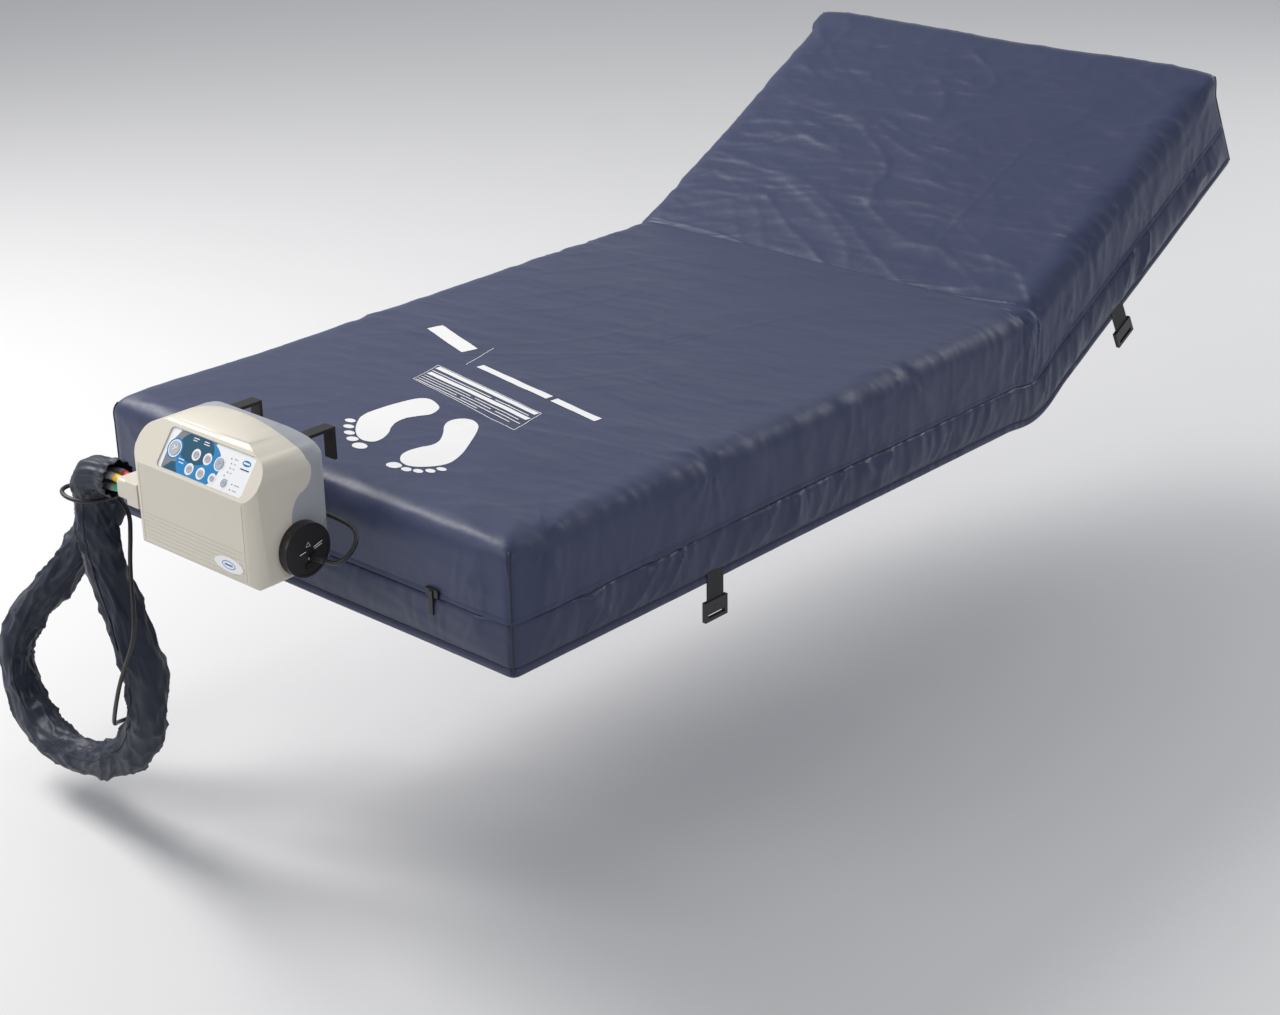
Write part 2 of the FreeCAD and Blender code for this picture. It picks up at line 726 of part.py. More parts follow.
def side_view(inset):
    """The unit's outline from the side, drawn across its width."""
    front = PUMP_DEPTH - inset
    slope = math.atan2(PUMP_DEPTH - FACE_UPPER_DEPTH, FACE_UPPER_HEIGHT - FACE_LOWER_HEIGHT)
    dip = inset * math.tan(slope / 2)
    rear = inset
    top = PUMP_HEIGHT - inset
    face = wire_of(lambda d, z: unit(-PUMP_WIDTH, d, z), [
        (rear, REAR_BASE_RISE + inset), (front - 14, inset),
        ((front - 4, 4 + inset), (front, 14 + inset)),
        (front, FACE_LOWER_HEIGHT - dip),
        (FACE_UPPER_DEPTH - inset * math.cos(slope), FACE_UPPER_HEIGHT - inset * math.sin(slope)),
        ((FACE_UPPER_DEPTH - 22, top - 4.2), (SEAM_DEPTH_TOP + 18, top)),
        (SEAM_DEPTH_TOP, top),
        ((SEAM_DEPTH_TOP * 0.4, top - 6), (rear, REAR_TOP_HEIGHT - inset)),
        (rear, REAR_BASE_RISE + inset),
    ])
    return face.extrude(Vector(2 * PUMP_WIDTH, 0, 0))


def plan_view(inset):
    """The unit's outline from above, drawn through its height."""
    half = PUMP_WIDTH / 2 - inset
    front = PUMP_DEPTH - inset
    r = FRONT_CORNER - inset / 2
    k = r * (1 - math.sqrt(0.5))
    face = wire_of(lambda x, d: unit(x, d, -5), [
        (-half + 6, inset), (half - 6, inset),
        (half, 12 + inset), (half, front - r),
        ((half - k, front - k), (half - r, front)),
        (-half + r, front),
        ((-half + k, front - k), (-half, front - r)),
        (-half, 12 + inset), (-half + 6, inset),
    ])
    return face.extrude(Vector(0, 0, PUMP_HEIGHT + 20))


def unit_block(inset):
    """The control unit's whole form, pulled in by inset."""
    return elevation(inset).common(side_view(inset)).common(plan_view(inset))


def seam_tool(front):
    """Everything in front of, or behind, the S-shaped seam between the two shells."""
    far = 250 if front else -60
    mid_low = (SEAM_DEPTH_LOW + SEAM_DEPTH_TOP - 6) / 2
    face = wire_of(lambda d, z: unit(-PUMP_WIDTH, d, z), [
        (SEAM_DEPTH_BASE, -40), (SEAM_DEPTH_BASE, 10),
        ((SEAM_DEPTH_LOW + 3, 50), (SEAM_DEPTH_LOW, 88)),
        ((mid_low + 12, 112), (mid_low, 126)),
        ((SEAM_DEPTH_TOP - 12, 150), (SEAM_DEPTH_TOP - 7, 172)),
        (SEAM_DEPTH_TOP, 260), (far, 260), (far, -40), (SEAM_DEPTH_BASE, -40),
    ])
    return face.extrude(Vector(2 * PUMP_WIDTH, 0, 0))


def panel_frame():
    """The panel's middle, its outward normal and its up direction."""
    lower = unit(PANEL_CENTRE_X, PUMP_DEPTH, FACE_LOWER_HEIGHT)
    upper = unit(PANEL_CENTRE_X, FACE_UPPER_DEPTH, FACE_UPPER_HEIGHT)
    up = (upper - lower).normalize()
    normal = up.cross(X_AXIS) * -1
    if normal.y > 0:
        normal = normal * -1
    return (lower + upper) * 0.5, normal, up


def on_panel(shape):
    """Moves a shape drawn flat, X across and Y up with +Z outward, onto the panel's plane."""
    centre, normal, up = panel_frame()
    placed = shape.copy()
    matrix = FreeCAD.Matrix(
        1, up.x, normal.x, centre.x,
        0, up.y, normal.y, centre.y,
        0, up.z, normal.z, centre.z,
        0, 0, 0, 1,
    )
    placed.transformShape(matrix)
    return placed


def rounded_plate(width, height, corner, low, high):
    """A flat plate with round corners, between two levels."""
    plate = box((-width / 2, -height / 2, low), (width / 2, height / 2, high))
    upright = [e for e in plate.Edges if abs(e.tangentAt(0).z) > 0.9]
    return plate.makeFillet(corner, upright)


def key_place(key):
    """A key's middle on the panel, across and up from the panel's middle."""
    _, across, up, _ = key
    return (across - 0.5) * PANEL_WIDTH, (up - 0.5) * PANEL_HEIGHT


def make_panel():
    """The control panel with its keys."""
    plate = rounded_plate(PANEL_WIDTH, PANEL_HEIGHT, PANEL_CORNER,
                          -PANEL_SUNK - PANEL_THICK, -PANEL_SUNK)
    for key in KEYS:
        x, y = key_place(key)
        radius = key[3] + KEY_CLEARANCE
        plate = plate.cut(rod(radius, (x, y, -PANEL_SUNK - 10), (x, y, 5)))
    save("control_panel", on_panel(plate))
    for key in KEYS:
        x, y = key_place(key)
        flange_top = -PANEL_SUNK - PANEL_THICK - KEY_FLANGE_GAP
        stem = rod(key[3], (x, y, flange_top - KEY_FLANGE_THICK), (x, y, -PANEL_SUNK + KEY_PROUD))
        flange = rod(key[3] + KEY_FLANGE,
                     (x, y, flange_top - KEY_FLANGE_THICK), (x, y, flange_top))
        save(key[0], on_panel(stem.fuse(flange).removeSplitter()))
    top = -PANEL_SUNK - PANEL_THICK - BOARD_TO_PANEL
    circuit = box((-PANEL_WIDTH / 2 + 12, -PANEL_HEIGHT / 2 + 4, top - BOARD_THICK),
                  (PANEL_WIDTH / 2 - 12, PANEL_HEIGHT / 2 - 4, top))
    save("circuit_board", on_panel(circuit))


def panel_window():
    """The opening that the panel sits in, and the lip behind it."""
    fit = PANEL_FIT
    opening = rounded_plate(PANEL_WIDTH + fit * 2, PANEL_HEIGHT + fit * 2, PANEL_CORNER + fit, -30, 20)
    return on_panel(opening)


def disc_centre(x):
    """The power disc's middle at a distance along X."""
    centre = unit(0, DISC_DEPTH, DISC_HEIGHT)
    return x, centre.y, centre.z


def front_grooves():
    """The moulded door line and the fine ribs low on the front face."""
    face = PUMP_DEPTH
    half = PUMP_WIDTH / 2 - DOOR_INSET
    cuts = []
    past = 2
    for side in (-1, 1):
        low = unit(side * half - GROOVE / 2, face + past, DOOR_LOW)
        cuts.append(Part.makeBox(GROOVE, past + GROOVE, DOOR_HEIGHT, low))
    for index in range(RIB_COUNT):
        low = unit(-half, face + past, RIB_LOWEST + index * RIB_PITCH)
        cuts.append(Part.makeBox(2 * half, past + RIB_DEPTH, GROOVE, low))
    return Part.makeCompound(cuts)


def make_shells():
    """The front and rear shells, split at the S-shaped seam."""
    outer = unit_block(0)
    hollow = unit_block(SHELL_WALL)
    shell = outer.cut(hollow)
    side = SIDE_X
    disc_hole = rod(DISC_RADIUS + DISC_FIT, disc_centre(side - DISC_SUNK - 4), disc_centre(side + 20))
    shell = shell.cut(disc_hole).cut(panel_window())
    port_low, port_high = port_corners(DISC_FIT)
    shell = shell.cut(box(port_low, port_high))
    front = shell.common(seam_tool(True)).cut(front_grooves())
    rear = shell.common(seam_tool(False))
    for x in hook_places():
        rear = rear.fuse(hook_lugs(x))
    rear = rear.removeSplitter()
    save("front_shell", front)
    save("rear_shell", rear)


def make_disc():
    """The round mains inlet plate, its fuse cap and its cord relief."""
    side = SIDE_X
    face = side + DISC_PROUD
    disc = rod(DISC_RADIUS, disc_centre(side - DISC_SUNK), disc_centre(face))
    rim = rod(DISC_RADIUS - DISC_RIM, disc_centre(face - 1.5), disc_centre(face + 1))
    disc = disc.cut(rim)
    inner_face = face - 1.5
    _, y, z = disc_centre(0)
    fuse_z = z - FUSE_DROP
    hole = rod(FUSE_RADIUS + FUSE_FIT, (inner_face - FUSE_LENGTH, y, fuse_z), (face + 2, y, fuse_z))
    cap = rod(FUSE_RADIUS, (inner_face - FUSE_LENGTH + 2, y, fuse_z),
              (inner_face + FUSE_PROUD, y, fuse_z))
    slot = box((inner_face + FUSE_PROUD - 1, y - FUSE_RADIUS + 1, fuse_z - 0.8),
               (inner_face + FUSE_PROUD + 1, y + FUSE_RADIUS - 1, fuse_z + 0.8))
    relief_y = y + RELIEF_DEPTH
    relief_z = z - RELIEF_DROP
    relief = cone(RELIEF_BASE_RADIUS, RELIEF_TIP_RADIUS, (inner_face, relief_y, relief_z),
                  (inner_face + RELIEF_LENGTH, relief_y, relief_z))
    save("power_disc", disc.cut(hole))
    save("fuse_cap", cap.cut(slot))
    save("strain_relief", relief)


def hook_places():
    """The middles of the two hooks."""
    return [PUMP_X - HOOK_SPREAD / 2, PUMP_X + HOOK_SPREAD / 2]


def hook_pivot():
    """The hooks' common pivot line, as (y, z)."""
    return PUMP_BACK_Y + HOOK_EYE_RADIUS + 1.0, BOARD_TOP - HOOK_PIVOT_DROP


def hook_lugs(x):
    """The two lugs of one hook, with the pin between them."""
    y, z = hook_pivot()
    lugs = []
    inner = HOOK_WIDTH / 2 + HOOK_SIDE_GAP
    for side in (-1, 1):
        a = x + side * inner
        b = x + side * (inner + LUG_THICK)
        low, high = min(a, b), max(a, b)
        eye = rod(HOOK_EYE_RADIUS - 1, (low, y, z), (high, y, z))
        root = box((low, PUMP_BACK_Y - 1, z - HOOK_EYE_RADIUS + 1),
                   (high, y, z + HOOK_EYE_RADIUS - 1))
        lugs += [eye, root]
    lugs.append(rod(HOOK_PIN_RADIUS, (x - inner - 1, y, z), (x + inner + 1, y, z)))
    return lugs[0].fuse(lugs[1:])


def make_hooks():
    """The folding hooks that hang the unit over the footboard."""
    pivot_y, pivot_z = hook_pivot()
    under = BOARD_TOP + HOOK_TOP_GAP
    far_y = BOARD_FACE_Y + BOARD_THICK_MAX + HOOK_THICK
    near_y = pivot_y - HOOK_THICK / 2
    for name, x in zip(("hook_left", "hook_right"), hook_places()):
        low, high = x - HOOK_WIDTH / 2, x + HOOK_WIDTH / 2
        arm = box((low, near_y, pivot_z), (high, near_y + HOOK_THICK, under + HOOK_THICK))
        bridge = box((low, near_y, under), (high, far_y, under + HOOK_THICK))
        tip = box((low, far_y - HOOK_THICK, under - HOOK_TIP_DROP), (high, far_y, under + HOOK_THICK))
        eye = rod(HOOK_EYE_RADIUS - 0.5, (low, pivot_y, pivot_z), (high, pivot_y, pivot_z))
        hook = arm.fuse([bridge, tip, eye]).removeSplitter()
        bore = rod(HOOK_PIN_RADIUS + HOOK_PIN_FIT, (low - 1, pivot_y, pivot_z),
                   (high + 1, pivot_y, pivot_z))
        save(name, hook.cut(bore))


def port_corners(fit):
    """The hose port's corners, let into the left side."""
    centre = unit(-PUMP_WIDTH / 2, PORT_DEPTH, PORT_HEIGHT)
    low = (centre.x - PORT_LENGTH, centre.y - PORT_SIZE_Y / 2 - fit, centre.z - PORT_SIZE_Z / 2 - fit)
    high = (centre.x + SHELL_WALL + 6, centre.y + PORT_SIZE_Y / 2 + fit,
            centre.z + PORT_SIZE_Z / 2 + fit)
    return low, high


def tube_places():
    """The four air tubes' centre lines, as (y, z)."""
    centre = unit(0, PORT_DEPTH, PORT_HEIGHT)
    step = TUBE_SPREAD / 2
    return [(centre.y + a * step, centre.z + b * step) for a in (-1, 1) for b in (-1, 1)]


def make_port():
    """The hose port on the unit, the connector on it and the tubes out of it."""
    low, high = port_corners(0)
    port = box(low, high)
    port_x = low[0]
    margin = CONNECTOR_MARGIN
    connector = box((port_x - CONNECTOR_LENGTH, low[1] + margin, low[2] + margin),
                    (port_x, high[1] - margin, high[2] - margin))
    along = [e for e in connector.Edges if abs(e.tangentAt(0).x) > 0.9]
    connector = connector.makeFillet(6, along)
    tubes = []
    tube_x = port_x - CONNECTOR_LENGTH
    for y, z in tube_places():
        tube = rod(TUBE_DIAMETER / 2, (tube_x - TUBE_SHOWN, y, z), (tube_x, y, z))
        tubes.append(tube.cut(rod(TUBE_BORE / 2, (tube_x - TUBE_SHOWN - 1, y, z), (tube_x + 1, y, z))))
        port = port.cut(rod(TUBE_BORE / 2, (port_x - 1, y, z), (high[0] + 1, y, z)))
        connector = connector.cut(rod(TUBE_BORE / 2, (tube_x - 1, y, z), (port_x + 1, y, z)))
    save("hose_port", port)
    save("hose_connector", connector)
    save("air_tubes", *tubes)


def make_inner_unit():
    """The compressor and the rotary valve that feeds the two groups of cells in turn."""
    length, depth, height = COMPRESSOR_SIZE
    low = unit(-length / 2 - 8, 20 + depth, 14)
    body = Part.makeBox(length, depth, height, low)
    upright = [e for e in body.Edges if abs(e.tangentAt(0).z) > 0.9]
    save("compressor", body.makeFillet(COMPRESSOR_CORNER, upright))
    centre = unit(-PUMP_WIDTH / 2 + VALVE_RADIUS + 30, 50, 84)
    x, y, z = centre.x, centre.y, centre.z
    housing = rod(VALVE_RADIUS, (x, y, z), (x, y, z + VALVE_HEIGHT))
    chamber = rod(VALVE_DISC_RADIUS + VALVE_FIT, (x, y, z + VALVE_WALL),
                  (x, y, z + VALVE_HEIGHT - VALVE_WALL))
    shaft_hole = rod(VALVE_SHAFT_RADIUS + VALVE_SHAFT_FIT, (x, y, z - 1), (x, y, z + VALVE_HEIGHT + 1))
    save("valve_body", housing.cut(chamber).cut(shaft_hole))
    disc_z = z + VALVE_WALL + VALVE_FIT + 2
    disc = rod(VALVE_DISC_RADIUS, (x, y, disc_z), (x, y, disc_z + VALVE_DISC_THICK))
    shaft = rod(VALVE_SHAFT_RADIUS, (x, y, z + 0.5), (x, y, z + VALVE_HEIGHT + 6))
    notch = rod(4, (x + VALVE_DISC_RADIUS * 0.6, y, disc_z - 1),
                (x + VALVE_DISC_RADIUS * 0.6, y, disc_z + VALVE_DISC_THICK + 1))
    save("valve_disc", disc.fuse(shaft).removeSplitter().cut(notch))


def make_trim():
    """The unit's feet, rear bumpers, badge and shell screws."""
    feet = []
    for x in (-PUMP_WIDTH / 2 + 34, PUMP_WIDTH / 2 - 34):
        for depth in (30, PUMP_DEPTH - 26):
            rise = REAR_BASE_RISE * (1 - depth / (PUMP_DEPTH - 14)) if depth < PUMP_DEPTH - 14 else 0
            base = unit(x, depth, rise + 1.2)
            end = unit(x, depth, rise - FOOT_HEIGHT)
            feet.append(rod(FOOT_RADIUS, base, end).cut(unit_block(0)))
    for x in (-BUMPER_SPREAD / 2, BUMPER_SPREAD / 2):
        start = unit(x, 0, BUMPER_HEIGHT)
        feet.append(rod(BUMPER_RADIUS, start, (start.x, BOARD_FACE_Y, start.z)))
    save("pump_feet", *feet)
    centre = unit(PUMP_WIDTH / 2 - DOOR_INSET - BADGE_WIDTH / 2 - 6, PUMP_DEPTH, 28)
    oval = Part.Ellipse(centre, BADGE_WIDTH / 2, BADGE_HEIGHT / 2)
    wire = Part.Wire(oval.toShape())
    wire.rotate(centre, X_AXIS, 90)
    badge = Part.Face(wire).extrude(Vector(0, -BADGE_THICK, 0))
    save("badge", badge)
    screws = []
    for x in (-PUMP_WIDTH / 2 + 18, PUMP_WIDTH / 2 - 18):
        for height in (32, 150):
            start = unit(x, 0, height)
            screw = rod(SCREW_RADIUS, start, (start.x, start.y + SCREW_HEAD, start.z))
            slot = box((start.x - SCREW_RADIUS, start.y + SCREW_HEAD - 0.8, start.z - 0.5),
                       (start.x + SCREW_RADIUS, start.y + SCREW_HEAD + 1, start.z + 0.5))
            screws.append(screw.cut(slot))
    save("shell_screws", *screws)


# ================================================================ hose and lead
def route_wire(points):
    """Straight runs joined by tangent arcs, with the arcs' radii."""
    corners = [Vector(*point) for point in points]
    edges = []
    radii = []
    start = corners[0]
    for before, corner, after in zip(corners, corners[1:], corners[2:]):
        arriving = (corner - before).normalize()
        leaving = (after - corner).normalize()
        turn = arriving.getAngle(leaving)
        reach = 0.45 * min((corner - before).Length, (after - corner).Length)
        radius = reach / math.tan(turn / 2)
        arc_start = corner - arriving * reach
        arc_end = corner + leaving * reach
        to_centre = (leaving - arriving).normalize()
        centre = corner + to_centre * (radius / math.cos(turn / 2))
        middle = centre - to_centre * radius
        edges.append(Part.LineSegment(start, arc_start).toShape())
        edges.append(Part.Arc(arc_start, middle, arc_end).toShape())
        radii.append(radius)
        start = arc_end
    edges.append(Part.LineSegment(start, corners[-1]).toShape())
    return Part.Wire(edges), radii


def cord(name, points, diameter):
    """A round cord along its route."""
    wire, radii = route_wire(points)
    start = Vector(*points[0])
    ring = Part.Wire(Part.Circle(start, Vector(*points[1]) - start, diameter / 2).toShape())
    solid = Part.Solid(wire.makePipeShell([ring], True, False))
    if solid.Volume < 0:
        solid.reverse()
    expected = math.pi * (diameter / 2) ** 2 * wire.Length
    print(f"{name}: length {wire.Length:.0f}, volume ratio {solid.Volume / expected:.4f}, "
          f"smallest radius {min(radii):.0f}, radii {[round(r) for r in radii]}")
    save(name, solid)


def hank_place(shape):
    """Turns the hank and what is on it to its lie behind the hose."""
    foot = Vector(HANK_AXIS_X, HANK_AXIS_Y, HANK_LOW)
    return shape.copy().rotated(foot, Z_AXIS, HANK_TURN).rotated(foot, Y_AXIS, HANK_LEAN)


def make_hank():
    """The tied hank of spare lead, and the plug above it."""
    right, rear = HANK_AXIS_X + HANK_RUN_INSET, HANK_AXIS_Y + HANK_RUN_INSET
    body = box(
        (right - HANK_WIDTH, rear - HANK_THICK, HANK_LOW),
        (right, rear, HANK_LOW + HANK_LENGTH),
    )
    round_ends = [e for e in body.Edges if abs(e.tangentAt(0).y) > 0.9]
    save("lead_hank", hank_place(body.makeFillet(HANK_CORNER, round_ends)))
    x, y = HANK_AXIS_X + PLUG_SHIFT[0], HANK_AXIS_Y + PLUG_SHIFT[1]
    hank_top = HANK_LOW + HANK_LENGTH
    plug_low = hank_top + PLUG_RISE
    plug_high = plug_low + PLUG_LENGTH
    plug = box(
        (x - PLUG_WIDTH / 2, y - PLUG_THICK / 2, plug_low),
        (x + PLUG_WIDTH / 2, y + PLUG_THICK / 2, plug_high),
    )
    upright = [e for e in plug.Edges if abs(e.tangentAt(0).z) > 0.9]
    plug = plug.makeFillet(PLUG_CORNER, upright)
    pins = []
    for side in (-1, 1):
        blade_x = x + side * BLADE_SPACING / 2
        blade_y = y - BLADE_SET_BACK
        pins.append(box(
            (blade_x - BLADE_THICK / 2, blade_y - BLADE_WIDTH / 2, plug_high - 1),
            (blade_x + BLADE_THICK / 2, blade_y + BLADE_WIDTH / 2, plug_high + BLADE_LENGTH),
        ))
    pin_y = y + EARTH_PIN_SET
    pins.append(rod(EARTH_PIN_RADIUS, (x, pin_y, plug_high - 1), (x, pin_y, plug_high + EARTH_PIN_LENGTH)))
    neck = cone(PLUG_CORNER + 2, PLUG_NECK_RADIUS, (x, y, plug_low + 1), (x, y, hank_top))
    save("mains_plug", hank_place(plug.fuse(pins + [neck]).removeSplitter()))


make_covers()
save("cover_fold_back", fold_gusset(BACK_HINGE_Y, BACK_WEDGE, BACK_WEDGE, BACK_ANGLE, True))
save("cover_fold_thigh", fold_gusset(THIGH_HINGE_Y, THIGH_WEDGE, THIGH_WEDGE, 0, False))
make_cells()
make_manifolds()
make_slider()
make_straps()
make_cpr()
make_cuff()
make_panel()
make_shells()
make_disc()
make_hooks()
make_port()
make_inner_unit()
make_trim()
cord("hose_sleeve", SLEEVE_ROUTE, SLEEVE_DIAMETER)
cord("mains_lead", LEAD_ROUTE, LEAD_DIAMETER)
make_hank()
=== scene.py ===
"""The looks of a pressure relief mattress with its control unit, air hose and mains lead.

Everything is in metres in the part's own frame: +X to the right seen from the foot end,
+Y from the foot to the head, +Z up, with the origin under the middle of the seat section.
"""

import itertools
import json
import logging
import math
from dataclasses import dataclass, field
from enum import Enum
from typing import Callable, Sequence

import bmesh
import bpy
import numpy as np
from mathutils import Matrix, Vector


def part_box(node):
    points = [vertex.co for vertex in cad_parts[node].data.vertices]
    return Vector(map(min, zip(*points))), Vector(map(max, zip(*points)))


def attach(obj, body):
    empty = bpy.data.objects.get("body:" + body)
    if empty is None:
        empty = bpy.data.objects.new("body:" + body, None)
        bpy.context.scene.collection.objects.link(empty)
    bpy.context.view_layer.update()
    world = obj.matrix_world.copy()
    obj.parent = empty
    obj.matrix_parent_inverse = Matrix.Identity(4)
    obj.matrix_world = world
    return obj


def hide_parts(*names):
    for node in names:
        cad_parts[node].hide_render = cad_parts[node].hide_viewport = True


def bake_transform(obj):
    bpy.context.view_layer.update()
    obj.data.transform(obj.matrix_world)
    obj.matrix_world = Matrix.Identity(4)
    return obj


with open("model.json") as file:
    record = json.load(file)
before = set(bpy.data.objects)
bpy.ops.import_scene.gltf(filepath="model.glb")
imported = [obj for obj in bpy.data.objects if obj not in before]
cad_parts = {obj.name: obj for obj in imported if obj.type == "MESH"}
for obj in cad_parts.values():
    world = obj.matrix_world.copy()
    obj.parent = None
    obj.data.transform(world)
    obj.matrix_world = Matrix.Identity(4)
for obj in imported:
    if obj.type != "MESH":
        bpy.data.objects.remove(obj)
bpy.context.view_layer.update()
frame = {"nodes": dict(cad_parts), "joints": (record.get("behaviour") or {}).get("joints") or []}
LOG = logging.getLogger("mattress")
MM = 0.001
OVAL_POINTS = 48
UNCUT = 400.0  # a mesh size larger than any print, which leaves it whole
MIX_SHARE, MIX_FIRST, MIX_SECOND, MIX_RESULT = 0, 6, 7, 2

Array = np.ndarray
Point = tuple[float, float, float]
Colour = tuple[float, float, float]


# ---------------------------------------------------------------- numbers
def stack(*columns: Array | float) -> Array:
    """Columns side by side, spread to one length.

    Args:
        columns: The columns, or single values.
    Returns:
        One row per place.
    """
    return np.stack(np.broadcast_arrays(*columns), axis=-1).astype(float)


def smooth_step(value: Array, low: float, high: float) -> Array:
    """A smooth rise.

    Args:
        value: Where to read it.
        low: Where the rise starts.
        high: Where it ends.
    Returns:
        0 before low and 1 after high.
    """
    share = np.clip((value - low) / (high - low), 0, 1)
    return share * share * (3 - 2 * share)


def noise(places: Array, seed: int) -> Array:
    """Smooth random values in a space of unit cells.

    Args:
        places: Three columns.
        seed: Which noise.
    Returns:
        Values from -1 to 1.
    """
    cell = np.floor(places).astype(np.int64)
    part = places - cell
    ease = part ** 3 * (part * (part * 6 - 15) + 10)
    total = np.zeros(len(places))
    for corner in itertools.product((0, 1), repeat=3):
        x, y, z = (cell + corner).T
        mixed = (x * 374761393 + y * 668265263 + z * 1440662683 + seed * 974711) & 0x7FFFFFFF
        mixed = ((mixed ^ (mixed >> 13)) * 1274126177) & 0x7FFFFFFF
        value = ((mixed ^ (mixed >> 16)) & 0xFFFF) / 32767.5 - 1
        total += value * np.prod(np.where(np.array(corner, bool), ease, 1 - ease), axis=1)
    return total


def ridges(places: Array, seed: int, sharpness: float) -> Array:
    """Narrow connected ridges.

    Args:
        places: Three columns, in cells.
        seed: Which ridges.
        sharpness: How narrow they are.
    Returns:
        Values from 0 to 1, 1 along the ridges.
    """
    return (1 - np.abs(noise(places, seed))) ** sharpness


def creases(u: Array, v: Array, angle: float, run: float, gap: float, seed: int,
            sharpness: float = 5.0) -> Array:
    """Wandering creases in cloth.

    Args:
        u: Places across the cloth.
        v: Places along the cloth.
        angle: The creases' direction from the u axis, in radians.
        run: How long one runs.
        gap: How far apart they are.
        seed: Which creases.
        sharpness: How narrow they are.
    Returns:
        Values from 0 to 1, 1 along the creases.
    """
    along = u * math.cos(angle) + v * math.sin(angle)
    across = v * math.cos(angle) - u * math.sin(angle)
    wander = noise(stack(along / run * 0.8, across / (gap * 3), 0.5), seed + 50)
    return ridges(stack(along / run, across / gap + wander, 0.5), seed, sharpness)


# ---------------------------------------------------------------- meshes
def mesh_piece(name: str, places: Array, faces: Sequence[Sequence[int]],
               cloth: Array | None = None, normals: Array | None = None) -> bpy.types.Object:
    """A new smooth-shaded mesh piece.

    Args:
        name: The piece's name.
        places: Its vertices.
        faces: Its faces, as vertex numbers.
        cloth: Where each vertex lies in the flat cloth, for its weave.
        normals: The vertices' normals, where a neighbour has to match.
    Returns:
        The piece.
    """
    mesh = bpy.data.meshes.new(name)
    mesh.from_pydata(np.asarray(places, float).tolist(), [], [tuple(map(int, f)) for f in faces])
    mesh.update()
    mesh.shade_smooth()
    if cloth is not None:
        layer = mesh.uv_layers.new(name="cloth")
        corners = np.zeros(len(mesh.loops), np.int32)
        mesh.loops.foreach_get("vertex_index", corners)
        layer.data.foreach_set("uv", np.asarray(cloth, np.float32)[corners].ravel())
    if normals is not None:
        mesh.normals_split_custom_set_from_vertices(np.asarray(normals, float).tolist())
    piece = bpy.data.objects.new(name, mesh)
    bpy.context.scene.collection.objects.link(piece)
    return piece


def grid_faces(rows: int, columns: int, closed: bool = False, first: int = 0) -> list[tuple[int, ...]]:
    """Quads between rows of vertices.

    Args:
        rows: How many rows.
        columns: Vertices in a row.
        closed: Whether a row's last vertex joins its first.
        first: The first vertex's number.
    Returns:
        The quads.
    """
    faces = []
    for row in range(rows - 1):
        low, high = first + row * columns, first + (row + 1) * columns
        for column in range(columns if closed else columns - 1):
            after = (column + 1) % columns
            faces.append((low + column, low + after, high + after, high + column))
    return faces


def vertex_normals(places: Array, faces: Sequence[Sequence[int]]) -> Array:
    """Smooth normals of a mesh of quads.

    Args:
        places: Its vertices.
        faces: Its quads.
    Returns:
        One unit normal per vertex.
    """
    quads = np.asarray(faces)
    across = places[quads[:, 2]] - places[quads[:, 0]]
    along = places[quads[:, 3]] - places[quads[:, 1]]
    face_normal = np.cross(across, along)
    total = np.zeros_like(places)
    for corner in range(4):
        np.add.at(total, quads[:, corner], face_normal)
    return total / np.maximum(np.linalg.norm(total, axis=1, keepdims=True), 1e-12)


def carried_frames(path: Array) -> tuple[Array, Array, Array]:
    """Directions along a path that turn with it and don't twist.

    Args:
        path: The path's points.
    Returns:
        Its tangents, and two directions square to each.
    """
    tangent = np.gradient(path, axis=0)
    tangent /= np.linalg.norm(tangent, axis=1, keepdims=True)
    start = np.cross(tangent[0], (0, 0, 1) if abs(tangent[0][2]) < 0.9 else (1, 0, 0))
    sides = [start / np.linalg.norm(start)]
    for now in tangent[1:]:
        side = sides[-1] - now * (sides[-1] @ now)
        sides.append(side / np.linalg.norm(side))
    side = np.array(sides)
    return tangent, side, np.cross(tangent, side)


def tube(name: str, path: Array, radius: float | Array | Callable[[Array, Array], Array],
         around: int = 16, capped: bool = True) -> bpy.types.Object:
    """A tube along a path.

    Args:
        name: The piece's name.
        path: Its middle line.
        radius: Its radius, one for each point, or a function of the place along and the angle.
        around: Vertices round it.
        capped: Whether its ends are closed.
    Returns:
        The piece.
    """
    path = np.asarray(path, float)
    _, side, other = carried_frames(path)
    along = np.concatenate([[0], np.cumsum(np.linalg.norm(np.diff(path, axis=0), axis=1))])
    angle = np.arange(around) * 2 * math.pi / around
    s, t = (grid.ravel() for grid in np.meshgrid(along, angle, indexing="ij"))
    reach = radius(s, t) if callable(radius) else np.repeat(np.broadcast_to(radius, len(path)), around)
    row = np.repeat(np.arange(len(path)), around)
    spoke = side[row] * np.cos(t)[:, None] + other[row] * np.sin(t)[:, None]
    places = path[row] + spoke * reach[:, None]
    faces = grid_faces(len(path), around, closed=True)
    if capped:
        faces.append(tuple(range(around))[::-1])
        faces.append(tuple(len(places) - around + i for i in range(around)))
    return mesh_piece(name, places, faces, cloth=stack(t * 0.012, s))


def smooth_line(points: Sequence[Point], order: int = 3) -> bpy.types.Curve:
    """A curve with one open spline, guided by points.

    Args:
        points: Its control points.
        order: The spline's order.
    Returns:
        The curve.
    """
    curve = bpy.data.curves.new("route", "CURVE")
    curve.dimensions = "3D"
    spline = curve.splines.new("NURBS")
    spline.points.add(len(points) - 1)
    for point, place in zip(spline.points, points):
        point.co = (*place, 1)
    spline.order_u = order
    spline.use_endpoint_u = True
    curve.resolution_u = 12
    return curve


